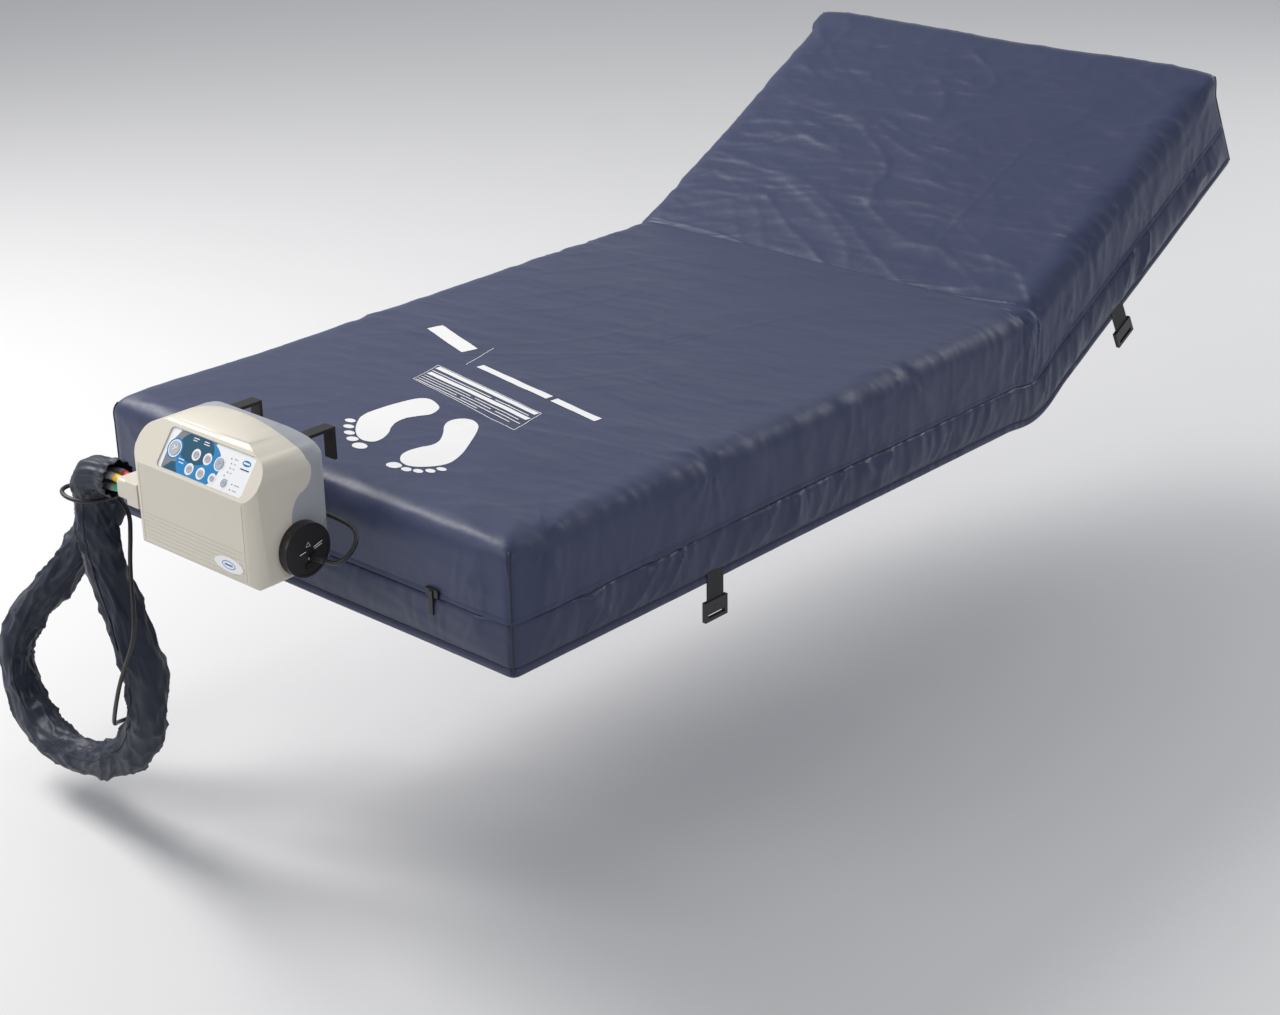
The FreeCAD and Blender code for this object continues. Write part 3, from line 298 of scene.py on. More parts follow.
def points_on(curve: bpy.types.Curve, step: float) -> Array:
    """Evenly spaced points read from a curve.

    Args:
        curve: A curve with no bevel.
        step: How far apart.
    Returns:
        The points.
    """
    carrier = bpy.data.objects.new("route", curve)
    mesh = bpy.data.meshes.new_from_object(carrier)
    read = np.array([v.co for v in mesh.vertices], float)
    bpy.data.objects.remove(carrier)
    bpy.data.meshes.remove(mesh)
    reach = np.concatenate([[0], np.cumsum(np.linalg.norm(np.diff(read, axis=0), axis=1))])
    wanted = np.linspace(0, reach[-1], max(2, round(reach[-1] / step)))
    return np.stack([np.interp(wanted, reach, read[:, axis]) for axis in range(3)], axis=1)


def outline_plate(name: str, outline: Array, lift: Callable[[Array, Array], Array],
                  step: float) -> bpy.types.Object:
    """A thin print that lies on a surface.

    Args:
        name: The piece's name.
        outline: Its closed outline, two columns.
        lift: Gives the surface's places from two columns.
        step: The print's mesh size.
    Returns:
        The piece.
    """
    curve = bpy.data.curves.new(name, "CURVE")
    curve.dimensions = "2D"
    curve.fill_mode = "BOTH"
    spline = curve.splines.new("POLY")
    spline.points.add(len(outline) - 1)
    for point, (x, y) in zip(spline.points, outline):
        point.co = (x, y, 0, 1)
    spline.use_cyclic_u = True
    carrier = bpy.data.objects.new(name, curve)
    mesh = bpy.data.meshes.new_from_object(carrier)
    bpy.data.objects.remove(carrier)
    low, high = outline.min(0), outline.max(0)
    cut = bmesh.new()
    cut.from_mesh(mesh)
    bpy.data.meshes.remove(mesh)
    for axis in range(2):
        normal = (1, 0, 0) if axis == 0 else (0, 1, 0)
        for place in np.arange(low[axis] + step, high[axis], step):
            origin = (place, 0, 0) if axis == 0 else (0, place, 0)
            bmesh.ops.bisect_plane(cut, geom=cut.verts[:] + cut.edges[:] + cut.faces[:],
                                   plane_co=origin, plane_no=normal)
    bmesh.ops.remove_doubles(cut, verts=cut.verts[:], dist=1e-6)
    flat = np.array([v.co for v in cut.verts], float).reshape(-1, 3)
    raised = lift(flat[:, 0], flat[:, 1])
    faces = [[v.index for v in face.verts] for face in cut.faces]
    cut.free()
    return mesh_piece(name, raised, faces, cloth=flat[:, :2])


# ---------------------------------------------------------------- finishes
class Grain(Enum):
    """What a finish's fine surface is."""

    SATIN = "coated nylon"
    PULLED = "coated nylon in slanting pulls"
    RIPSTOP = "thin ripstop cloth"
    WEBBING = "woven webbing"
    MOULDED = "moulded plastic"
    RUBBER = "soft rubber"
    STEEL = "rolled steel"
    INK = "printed ink"
    FILM = "air cell film"


@dataclass(frozen=True)
class Relief:
    """One layer of fine relief: its texture, cells to the metre and depth in metres."""

    texture: str
    scale: float
    depth: float
    stretch: Point = (1.0, 1.0, 1.0)
    turn: float = 0.0


RELIEFS: dict[Grain, tuple[Relief, ...]] = {
    Grain.SATIN: (
        Relief("ridged", 10.0, 4.5 * MM, (0.45, 1.5, 1.0), 0.35),
        Relief("ridged", 19.0, 2.2 * MM, (0.6, 1.6, 1.0), -0.6),
        Relief("noise", 70.0, 0.4 * MM),
        Relief("threads", 350.0, 0.02 * MM),
    ),
    Grain.PULLED: (
        Relief("ridged", 13.0, 6.0 * MM, (0.35, 1.8, 1.0), 0.62),
        Relief("ridged", 28.0, 2.4 * MM, (0.5, 1.5, 1.0), 0.5),
        Relief("noise", 70.0, 0.3 * MM),
        Relief("threads", 350.0, 0.02 * MM),
    ),
    Grain.RIPSTOP: (
        Relief("ridged", 22.0, 3.0 * MM),
        Relief("noise", 120.0, 0.25 * MM),
        Relief("threads", 63.0, 0.05 * MM),
    ),
    Grain.WEBBING: (Relief("threads", 160.0, 0.3 * MM), Relief("noise", 400.0, 0.1 * MM)),
    Grain.MOULDED: (Relief("noise", 900.0, 0.03 * MM), Relief("noise", 25.0, 0.12 * MM)),
    Grain.RUBBER: (Relief("noise", 500.0, 0.05 * MM), Relief("noise", 40.0, 0.1 * MM)),
    Grain.STEEL: (Relief("noise", 300.0, 0.03 * MM, (1.0, 12.0, 1.0)),),
    Grain.INK: (Relief("noise", 500.0, 0.02 * MM),),
    Grain.FILM: (Relief("noise", 40.0, 1.0 * MM),),
}
CLOTHS = (Grain.SATIN, Grain.PULLED, Grain.RIPSTOP)
CLOUDS = Relief("noise", 5.0, 0.0)
SPECKLE = Relief("noise", 140.0, 0.0)


@dataclass(frozen=True)
class Finish:
    """A material: its colour, gloss and grain."""

    name: str
    colour: Colour
    roughness: float
    grain: Grain
    metallic: float = 0.0
    sheen: float = 0.0
    coat: float = 0.0
    shift: float = 0.08

    def dress(self, *pieces: bpy.types.Object) -> None:
        """Puts the finish on pieces.

        Args:
            pieces: What takes it.
        """
        material = bpy.data.materials.get(self.name) or self.build()
        for piece in pieces:
            piece.data.materials.clear()
            piece.data.materials.append(material)

    def build(self) -> bpy.types.Material:
        """Makes the finish's material.

        Returns:
            The material.
        """
        material = bpy.data.materials.new(self.name)
        material.use_nodes = True
        tree = material.node_tree
        shader = tree.nodes["Principled BSDF"]
        shader.inputs["Metallic"].default_value = self.metallic
        shader.inputs["Sheen Weight"].default_value = self.sheen
        shader.inputs["Coat Weight"].default_value = self.coat
        shader.inputs["Specular IOR Level"].default_value = 0.4 if self.grain in CLOTHS else 0.5
        coordinates = tree.nodes.new("ShaderNodeTexCoord")
        where = coordinates.outputs["UV" if self.grain in CLOTHS else "Object"]
        cloudy = self.texture(tree, where, CLOUDS)
        speckle = self.texture(tree, where, SPECKLE)
        mix = tree.nodes.new("ShaderNodeMix")
        mix.data_type = "RGBA"
        mix.inputs[MIX_FIRST].default_value = (*(c * (1 - self.shift) for c in self.colour), 1)
        mix.inputs[MIX_SECOND].default_value = (*(min(c * (1 + self.shift), 1) for c in self.colour), 1)
        tree.links.new(cloudy, mix.inputs[MIX_SHARE])
        tree.links.new(mix.outputs[MIX_RESULT], shader.inputs["Base Color"])
        gloss = tree.nodes.new("ShaderNodeMapRange")
        gloss.inputs["To Min"].default_value = max(self.roughness - 0.07, 0.02)
        gloss.inputs["To Max"].default_value = min(self.roughness + 0.07, 1)
        tree.links.new(speckle, gloss.inputs["Value"])
        tree.links.new(gloss.outputs["Result"], shader.inputs["Roughness"])
        normal = None
        for layer in RELIEFS[self.grain]:
            bump = tree.nodes.new("ShaderNodeBump")
            bump.inputs["Strength"].default_value = 1.0
            bump.inputs["Distance"].default_value = layer.depth
            tree.links.new(self.texture(tree, where, layer), bump.inputs["Height"])
            if normal is not None:
                tree.links.new(normal, bump.inputs["Normal"])
            normal = bump.outputs["Normal"]
        tree.links.new(normal, shader.inputs["Normal"])
        return material

    @staticmethod
    def texture(tree: bpy.types.NodeTree, where: bpy.types.NodeSocket,
                layer: Relief) -> bpy.types.NodeSocket:
        """Adds one procedural texture.

        Args:
            tree: The material's nodes.
            where: The coordinates it reads.
            layer: Which texture, and its scale.
        Returns:
            Its value.
        """
        spread = tree.nodes.new("ShaderNodeMapping")
        spread.inputs["Scale"].default_value = layer.stretch
        spread.inputs["Rotation"].default_value = (0, 0, layer.turn)
        tree.links.new(where, spread.inputs["Vector"])
        if layer.texture == "threads":
            waves = []
            for direction in ("X", "Y"):
                wave = tree.nodes.new("ShaderNodeTexWave")
                wave.bands_direction = direction
                wave.inputs["Scale"].default_value = layer.scale
                wave.inputs["Distortion"].default_value = 0.4
                tree.links.new(spread.outputs[0], wave.inputs["Vector"])
                waves.append(wave.outputs["Fac"])
            both = tree.nodes.new("ShaderNodeMath")
            both.operation = "MAXIMUM"
            for socket, value in zip(both.inputs, waves):
                tree.links.new(value, socket)
            return both.outputs[0]
        texture = tree.nodes.new("ShaderNodeTexNoise")
        texture.noise_type = "RIDGED_MULTIFRACTAL" if layer.texture == "ridged" else "FBM"
        texture.inputs["Scale"].default_value = layer.scale
        texture.inputs["Detail"].default_value = 4.0 if layer.texture == "ridged" else 3.0
        tree.links.new(spread.outputs[0], texture.inputs["Vector"])
        return texture.outputs["Fac"]


NYLON = Finish("navy_coated_nylon", (0.031, 0.041, 0.098), 0.46, Grain.SATIN, sheen=0.08, shift=0.06)
BASE_NYLON = Finish("navy_base_nylon", (0.029, 0.038, 0.088), 0.38, Grain.PULLED, sheen=0.05, shift=0.08)
ZIP_TAPE = Finish("dark_zip_tape", (0.012, 0.015, 0.028), 0.6, Grain.WEBBING)
PIPING = Finish("dark_navy_piping", (0.014, 0.018, 0.034), 0.55, Grain.WEBBING)
SLEEVE_CLOTH = Finish("dark_ripstop_cloth", (0.013, 0.018, 0.036), 0.50, Grain.RIPSTOP, sheen=0.04)
WHITE_INK = Finish("white_cloth_ink", (0.80, 0.80, 0.80), 0.5, Grain.INK, shift=0.02)
CREAM = Finish("cream_moulded_plastic", (0.66, 0.62, 0.53), 0.42, Grain.MOULDED, shift=0.025)
GREY = Finish("cool_grey_moulded_plastic", (0.36, 0.375, 0.40), 0.42, Grain.MOULDED, shift=0.03)
BLACK_PLASTIC = Finish("black_moulded_plastic", (0.018, 0.017, 0.017), 0.36, Grain.MOULDED)
RED_PLASTIC = Finish("red_moulded_plastic", (0.55, 0.03, 0.025), 0.4, Grain.MOULDED)
LABEL_WHITE = Finish("white_label_film", (0.84, 0.85, 0.87), 0.3, Grain.INK, coat=0.3, shift=0.015)
LABEL_GREY = Finish("grey_label_ink", (0.20, 0.22, 0.245), 0.3, Grain.INK, coat=0.3)
LABEL_TEAL = Finish("dark_teal_label_ink", (0.004, 0.075, 0.135), 0.3, Grain.INK, coat=0.3)
LABEL_BLUE = Finish("blue_label_ink", (0.006, 0.21, 0.50), 0.3, Grain.INK, coat=0.3)
LABEL_DARK = Finish("dark_label_ink", (0.02, 0.03, 0.04), 0.3, Grain.INK, coat=0.3)
KEY_GREY = Finish("pale_grey_key_caps", (0.42, 0.43, 0.46), 0.38, Grain.MOULDED)
RUBBER = Finish("black_lead_rubber", (0.014, 0.014, 0.015), 0.42, Grain.RUBBER)
FEET_RUBBER = Finish("dark_grey_feet_rubber", (0.04, 0.04, 0.042), 0.6, Grain.RUBBER)
TUBE_GREY = Finish("grey_air_tubing", (0.34, 0.35, 0.36), 0.35, Grain.RUBBER)
BAND_YELLOW = Finish("yellow_band", (0.80, 0.50, 0.02), 0.4, Grain.RUBBER)
BAND_RED = Finish("red_band", (0.58, 0.03, 0.05), 0.4, Grain.RUBBER)
BAND_GREEN = Finish("green_band", (0.03, 0.42, 0.25), 0.4, Grain.RUBBER)
BAND_WHITE = Finish("white_band", (0.8, 0.8, 0.8), 0.4, Grain.RUBBER)
WEBBING = Finish("black_webbing", (0.016, 0.016, 0.018), 0.62, Grain.WEBBING)
HOOK_STEEL = Finish("dark_coated_steel", (0.05, 0.048, 0.047), 0.35, Grain.STEEL, metallic=0.7)
BRIGHT_STEEL = Finish("bright_plated_steel", (0.62, 0.61, 0.59), 0.25, Grain.STEEL, metallic=1.0)
CIRCUIT = Finish("green_circuit_board", (0.02, 0.16, 0.06), 0.4, Grain.MOULDED)
CASTING = Finish("cast_compressor_case", (0.35, 0.35, 0.34), 0.5, Grain.STEEL, metallic=0.6)
FILM = Finish("pale_cell_film", (0.45, 0.50, 0.58), 0.4, Grain.FILM)
ZIP_COIL = Finish("pale_zip_coil", (0.10, 0.11, 0.14), 0.4, Grain.MOULDED)


def settle(piece: bpy.types.Object, finish: Finish, body: str) -> None:
    """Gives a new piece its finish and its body.

    Args:
        piece: The piece.
        finish: Its finish.
        body: What it rides on.
    """
    finish.dress(piece)
    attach(piece, body)


def finish_solids(table: Sequence[tuple[Finish, str, float]]) -> None:
    """Finishes solids that show as they are.

    Args:
        table: Each finish, the names of its solids and how far their edges are rounded, in
            millimetres.
    """
    for finish, names, edge in table:
        for name in names.split():
            solid = frame["nodes"][name]
            finish.dress(solid)
            ease_edges(solid, edge * MM)


def ease_edges(piece: bpy.types.Object, width: float) -> None:
    """Rounds a solid's sharp edges a little.

    Args:
        piece: The solid.
        width: How far the rounding reaches.
    """
    weld = piece.modifiers.new("weld", "WELD")
    weld.merge_threshold = 1e-5
    if width > 0:
        bevel = piece.modifiers.new("ease", "BEVEL")
        bevel.width = width
        bevel.segments = 2
        bevel.limit_method = "ANGLE"
        bevel.angle_limit = math.radians(38)
        bevel.harden_normals = True


# ---------------------------------------------------------------- cover
@dataclass(frozen=True)
class Fold:
    """A stretch of the mattress round one of its hinges."""

    name: str
    low_y: float
    high_y: float
    before: str
    after: str
    start: Point
    end: Point
    top_nodes: tuple[str, ...]
    base_nodes: tuple[str, ...]
    zip_nodes: tuple[str, ...]


@dataclass(frozen=True)
class Row:
    """One row of the cover's wall: its height above the underside and how far it stands out."""

    height: float
    lift: float = 0.0


# lines pressed into the top by folding: a place on the cloth and a direction in radians
PRESSED_LINES = (((-0.05, -0.42), 0.72), ((0.05, -0.25), -0.9), ((0.12, -0.1), 1.25),
                 ((-0.2, 0.1), 0.25), ((0.2, 0.55), 1.5), ((0.02, 0.3), 0.05))


@dataclass
class CoverForm:
    """The mattress cover's surface.

    A place on the cloth is given by a and b, across and along from the middle of the top, by
    how far round the top edge's curve it lies (rise, from 45 degrees on top to 0 on the wall)
    and by its drop down the wall.
    """

    edge: float = 48 * MM
    corner_power: float = 9.0
    edge_power: float = 3.0
    head_edge_power: float = 11.0
    plump: float = 4 * MM
    cell_pitch: float = 101.6 * MM
    back_length: float = 711.2 * MM
    bend_reach: float = 95 * MM
    give_back: float = 600 * MM
    fold_lift: float = 8 * MM
    fold_reach: float = 70 * MM
    head_ridge: float = 7 * MM
    pressed_height: float = 0.7 * MM
    pressed_width: float = 4 * MM
    dent_seed: int = 11
    dent_most: float = 1.3
    dent_shift: float = 0.05
    dent_left_share: float = 0.45
    dent_ray: float = 7.0
    dent_pinch: float = 2.2
    corner_ray: float = 5 * MM
    zip_height: float = 92 * MM
    half_width: float = field(init=False)
    height: float = field(init=False)
    foot_y: float = field(init=False)
    back_hinge: float = field(init=False)
    thigh_hinge: float = field(init=False)
    knee_hinge: float = field(init=False)
    back_angle: float = field(init=False)

    def __post_init__(self) -> None:
        """Reads the sizes that the frame holds."""
        low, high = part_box("top_cover_calf")
        self.half_width, self.height, self.foot_y = high.x, high.z, low.y
        hinges = {joint["name"]: joint for joint in frame["joints"]}
        self.back_hinge = hinges["back_raise"]["pos_m"][1]
        self.thigh_hinge = hinges["thigh_raise"]["pos_m"][1]
        self.knee_hinge = hinges["knee_bend"]["pos_m"][1]
        self.back_angle = math.radians(-hinges["back_raise"]["range_deg"][0])
        head_y = self.back_hinge + self.back_length
        self.middle = (self.foot_y + head_y) / 2
        self.half_length = (head_y - self.foot_y) / 2
        self.flat_x = self.half_width - self.edge
        self.flat_y = self.half_length - self.edge
        self.arc = self.edge * math.pi / 4
        self.reach_a = self.flat_x + self.arc
        self.reach_b = self.flat_y + self.arc
        self.shelf = self.height - self.edge

    def bend(self, places: Array) -> Array:
        """Raises the back section, with a smooth fold at its hinge.

        Args:
            places: Places on the flat mattress.
        Returns:
            The same places with the back raised.
        """
        turn = self.turn(places[:, 1])
        y, z = places[:, 1] - self.back_hinge, places[:, 2]
        return stack(places[:, 0], self.back_hinge + y * np.cos(turn) - z * np.sin(turn),
                     y * np.sin(turn) + z * np.cos(turn))

    def cloth(self, a: Array, b: Array, rise: Array, drop: Array) -> tuple[Array, Array, Array]:
        """Where a place lies in the flat cloth.

        Args:
            a: Across.
            b: Along.
            rise: How far round the top edge, in radians.
            drop: How far down the wall.
        Returns:
            Two coordinates in the cloth, and the distance down from the top edge.
        """
        down = self.edge * (math.pi / 4 - rise) + drop
        side = np.abs(a) > self.reach_a - 1e-6
        end = (np.abs(b) > self.reach_b - 1e-6) & ~side
        along = b + np.where(end, np.sign(b) * down, 0) - self.gathered(b, self.height - down)
        return a + np.where(side, np.sign(a) * down, 0), along, down

    def gathered(self, b: Array, height: Array) -> Array:
        """How much of the cloth's length the raised back takes up, so that creases keep their size.

        Args:
            b: Along.
            height: The height above the hinge.
        Returns:
            The length taken up, which is given back over the rest of the back section.
        """
        y = self.middle + np.clip(b, -self.half_length, self.half_length)
        rest = 1 - smooth_step(y, self.back_hinge + self.bend_reach, self.back_hinge + self.give_back)
        return height * self.turn(y) * rest

    def turn(self, y: Array) -> Array:
        """How far the cover has turned at places along the mattress.

        Args:
            y: The places.
        Returns:
            The angles, in radians.
        """
        return self.back_angle * smooth_step(y, self.back_hinge - self.bend_reach,
                                             self.back_hinge + self.bend_reach)

    def relief(self, a: Array, b: Array, rise: Array, drop: Array) -> Array:
        """How far the loose cloth stands out, from swells to creases.

        Args:
            a: Across.
            b: Along.
            rise: How far round the top edge.
            drop: How far down the wall.
        Returns:
            The distance out, in metres.
        """
        u, v, down = self.cloth(a, b, rise, drop)
        side = np.abs(a) > self.reach_a - 1e-6
        along = np.where(side, v, u)
        corner = np.where(side, self.reach_b - np.abs(b), self.reach_a - np.abs(a))
        corner = np.where(down > 0, corner,
                          np.hypot(self.reach_a - np.abs(a), self.reach_b - np.abs(b)))
        away = smooth_step(corner, 0.0, 0.07)
        y = self.middle + np.clip(b, -self.half_length, self.half_length)
        height = np.where(down > 0, self.shelf - drop, self.height)
        fold = np.exp(-((y - self.back_hinge) / 0.13) ** 2)
        on_top = 1 - smooth_step(down, 0, 0.035)
        upper = smooth_step(down, 0.0, 0.04) * smooth_step(
            height, self.zip_height - 0.003, self.zip_height + 0.002)
        lower = 1 - smooth_step(height, self.zip_height - 0.012, self.zip_height - 0.004)
        near_side = smooth_step(np.abs(u), 0.25, self.reach_a)
        cell = 2 * math.pi * ((y - self.foot_y) / self.cell_pitch - 0.5)
        out = 0.35 * MM * np.cos(cell) * (1 - 0.6 * near_side)
        out += self.fold_lift * on_top * np.exp(-((y - self.back_hinge) / self.fold_reach) ** 2)
        out += self.top_cloth(u, v, y, fold) * on_top
        out += self.dents(u, v + self.gathered(b, self.height - down), y)
        out += self.wall_cloth(along, height, fold, side) * upper
        out += self.base_cloth(along, height, side) * lower
        ridge = np.exp(-np.maximum(self.reach_b - b, 0) / 0.03) * np.exp(-down / 0.012)
        return out * away + self.plump * on_top + self.head_ridge * ridge

    def top_cloth(self, u: Array, v: Array, y: Array, fold: Array) -> Array:
        """Swells, creases and pressed lines of the top.

        Args:
            u: Across the cloth.
            v: Along the cloth.
            y: The place along the mattress.
            fold: How near the back fold it is.
        Returns:
            The distance out.
        """
        out = 3.0 * MM * noise(stack(u / 0.30, v / 0.34, 0.5), 3)
        out += 1.3 * MM * noise(stack(u / 0.10, v / 0.12, 0.5), 4)
        back = smooth_step(y, self.back_hinge - 0.05, self.back_hinge + 0.2)
        patch = smooth_step(noise(stack(u / 0.28, v / 0.22, 1.5), 5), -0.15, 0.45)
        out += (1.4 + 1.1 * back) * MM * (patch + 0.3 * back) * creases(u, v, 0.18, 0.24, 0.042, 6)
        patch = smooth_step(noise(stack(u / 0.22, v / 0.3, 2.5), 7), -0.1, 0.5)
        out += (1.0 + 0.8 * back) * MM * (patch + 0.4 * back) * creases(u, v, -0.55, 0.18, 0.05, 8)
        out += 0.7 * MM * creases(u, v, 0.9, 0.30, 0.09, 9, 9)
        out += (0.5 + 0.7 * back) * MM * creases(u, v, 0.35, 0.12, 0.024, 12, 4)
        out += 0.8 * MM * fold * creases(u, v, 0.06, 0.30, 0.030, 10)
        for start, angle in PRESSED_LINES:
            across = (v - start[1]) * math.cos(angle) - (u - start[0]) * math.sin(angle)
            run = (u - start[0]) * math.cos(angle) + (v - start[1]) * math.sin(angle)
            fade = 1 - smooth_step(np.abs(run), 0.12, 0.26)
            out += self.pressed_height * np.exp(-(across / self.pressed_width) ** 2) * fade
        return out

    def dents(self, u: Array, v: Array, y: Array) -> Array:
        """Pinches in the top edge between air cells, with creases that run out from them.

        Args:
            u: Across the cloth.
            v: Along the cloth.
            y: The place along the mattress.
        Returns:
            The distance out.
        """
        chance = np.random.default_rng(self.dent_seed)
        out = np.zeros_like(u)
        count = round(2 * self.half_length / self.cell_pitch)
        for side in (-1, 1):
            for gap in range(1, count):
                strength = self.dent_most * chance.uniform(0, 1) ** 3
                shift = chance.uniform(-self.dent_shift, self.dent_shift)
                centre = gap * self.cell_pitch - self.half_length + shift
                bent = math.exp(-((self.middle + centre - self.back_hinge) / 0.2) ** 2)
                strength = min(strength + 0.8 * bent, self.dent_most)
                strength *= 1.0 if side > 0 else self.dent_left_share
                du, dv = side * u - self.reach_a, v - centre
                near = (np.abs(du) < 0.19) & (np.abs(dv) < 0.17)
                du, dv = du[near], dv[near]
                reach = np.hypot(du, dv)
                angle = np.arctan2(dv, du)
                rays = ridges(stack(angle * 1.9, reach / 0.35, gap + 0.5), 20 + gap, 4)
                fade = np.exp(-reach / 0.06) * smooth_step(reach, 0.004, 0.03)
                pinch = np.exp(-(dv / 0.016) ** 2 - ((du + 0.004) / 0.026) ** 2)
                out[near] += strength * MM * (self.dent_ray * rays * fade - self.dent_pinch * pinch)
            for end in (-1, 1):
                du, dv = side * u - self.reach_a, end * v - self.reach_b
                near = (np.abs(du) < 0.25) & (np.abs(dv) < 0.25)
                reach, angle = np.hypot(du[near], dv[near]), np.arctan2(dv[near], du[near])
                rays = ridges(stack(angle * 2.2, reach / 0.5, 0.5 + side + 3 * end), 19, 4)
                out[near] += self.corner_ray * rays * np.exp(-reach / 0.075)
        return out

    def wall_cloth(self, along: Array, height: Array, fold: Array, side: Array) -> Array:
        """Folds of the wall above the zipper.

        Args:
            along: The place along the wall.
            height: The height above the underside.
            fold: How near the back fold it is.
            side: Whether it is on a long side.
        Returns:
            The distance out.
        """
        swell = np.clip((self.height - height) / (self.height - self.zip_height), 0, 1)
        out = 3.0 * MM * np.sin(math.pi * swell)
        out += 2.2 * MM * noise(stack(along / 0.17, height / 0.12, 4.5), 31)
        patch = smooth_step(noise(stack(along / 0.2, height / 0.2, 5.5), 32), -0.3, 0.4)
        out += (2.4 + 3.5 * fold * side) * MM * patch * creases(along, height, 1.25, 0.10, 0.028, 33)
        out += 1.5 * MM * creases(along, height, 0.5, 0.09, 0.035, 34)
        return out + 3.0 * MM * fold * side * creases(along, height, 1.55, 0.12, 0.020, 35)

    def base_cloth(self, along: Array, height: Array, side: Array) -> Array:
        """Slanting pulls in the base cover below the zipper.

        Args:
            along: The place along the wall.
            height: The height above the underside.
            side: Whether it is on a long side.
        Returns:
            The distance out.
        """
        hold = smooth_step(height, 0.014, 0.034)
        swell = np.clip((height - 0.016) / (self.zip_height - 0.022), 0, 1)
        out = 4.5 * MM * np.sin(math.pi * swell)
        out += 2.0 * MM * noise(stack(along / 0.14, height / 0.09, 6.5), 41)
        patch = 0.35 + 0.65 * smooth_step(noise(stack(along / 0.16, height / 0.25, 7.5), 42), -0.3, 0.3)
        slant = np.where(side, 1.0, 0.4)
        out += 7.0 * MM * patch * slant * creases(along, height, 0.95, 0.13, 0.036, 43, 4.0)
        out += 2.4 * MM * creases(along, height, 1.2, 0.08, 0.018, 44, 4.0)
        return out * hold

    def place(self, a: Array, b: Array, rise: Array | float, drop: Array | float,
              lift: Array | float = 0.0) -> Array:
        """Places on the flat mattress's cover.

        Args:
            a: Across.
            b: Along.
            rise: How far round the top edge.
            drop: How far down the wall.
            lift: How far outside the cloth.
        Returns:
            The places, before the back is raised.
        """
        a, b, rise, drop, lift = (x.copy() for x in np.broadcast_arrays(
            *(np.asarray(x, float) for x in (a, b, rise, drop, lift))))
        turn_x = np.clip((np.abs(a) - self.flat_x) / self.edge, 0, math.pi / 4)
        turn_y = np.clip((np.abs(b) - self.flat_y) / self.edge, 0, math.pi / 4)
        direction = stack(np.sign(a) * np.tan(turn_x), np.sign(b) * np.tan(turn_y), np.tan(rise))
        direction /= np.linalg.norm(direction, axis=1, keepdims=True)
        size = np.abs(direction)
        level = size[:, 0] ** self.corner_power + size[:, 1] ** self.corner_power
        level **= 1 / self.corner_power
        power = self.edge_power + (self.head_edge_power - self.edge_power) * smooth_step(
            turn_y * (b > 0), 0.0, 0.3)
        swell = (level ** power + size[:, 2] ** power) ** (-1 / power)
        inner = stack(np.clip(a, -self.flat_x, self.flat_x),
                      self.middle + np.clip(b, -self.flat_y, self.flat_y), self.shelf - drop)
        out = self.edge * swell + self.relief(a, b, rise, drop) + lift
        return inner + direction * out[:, None]


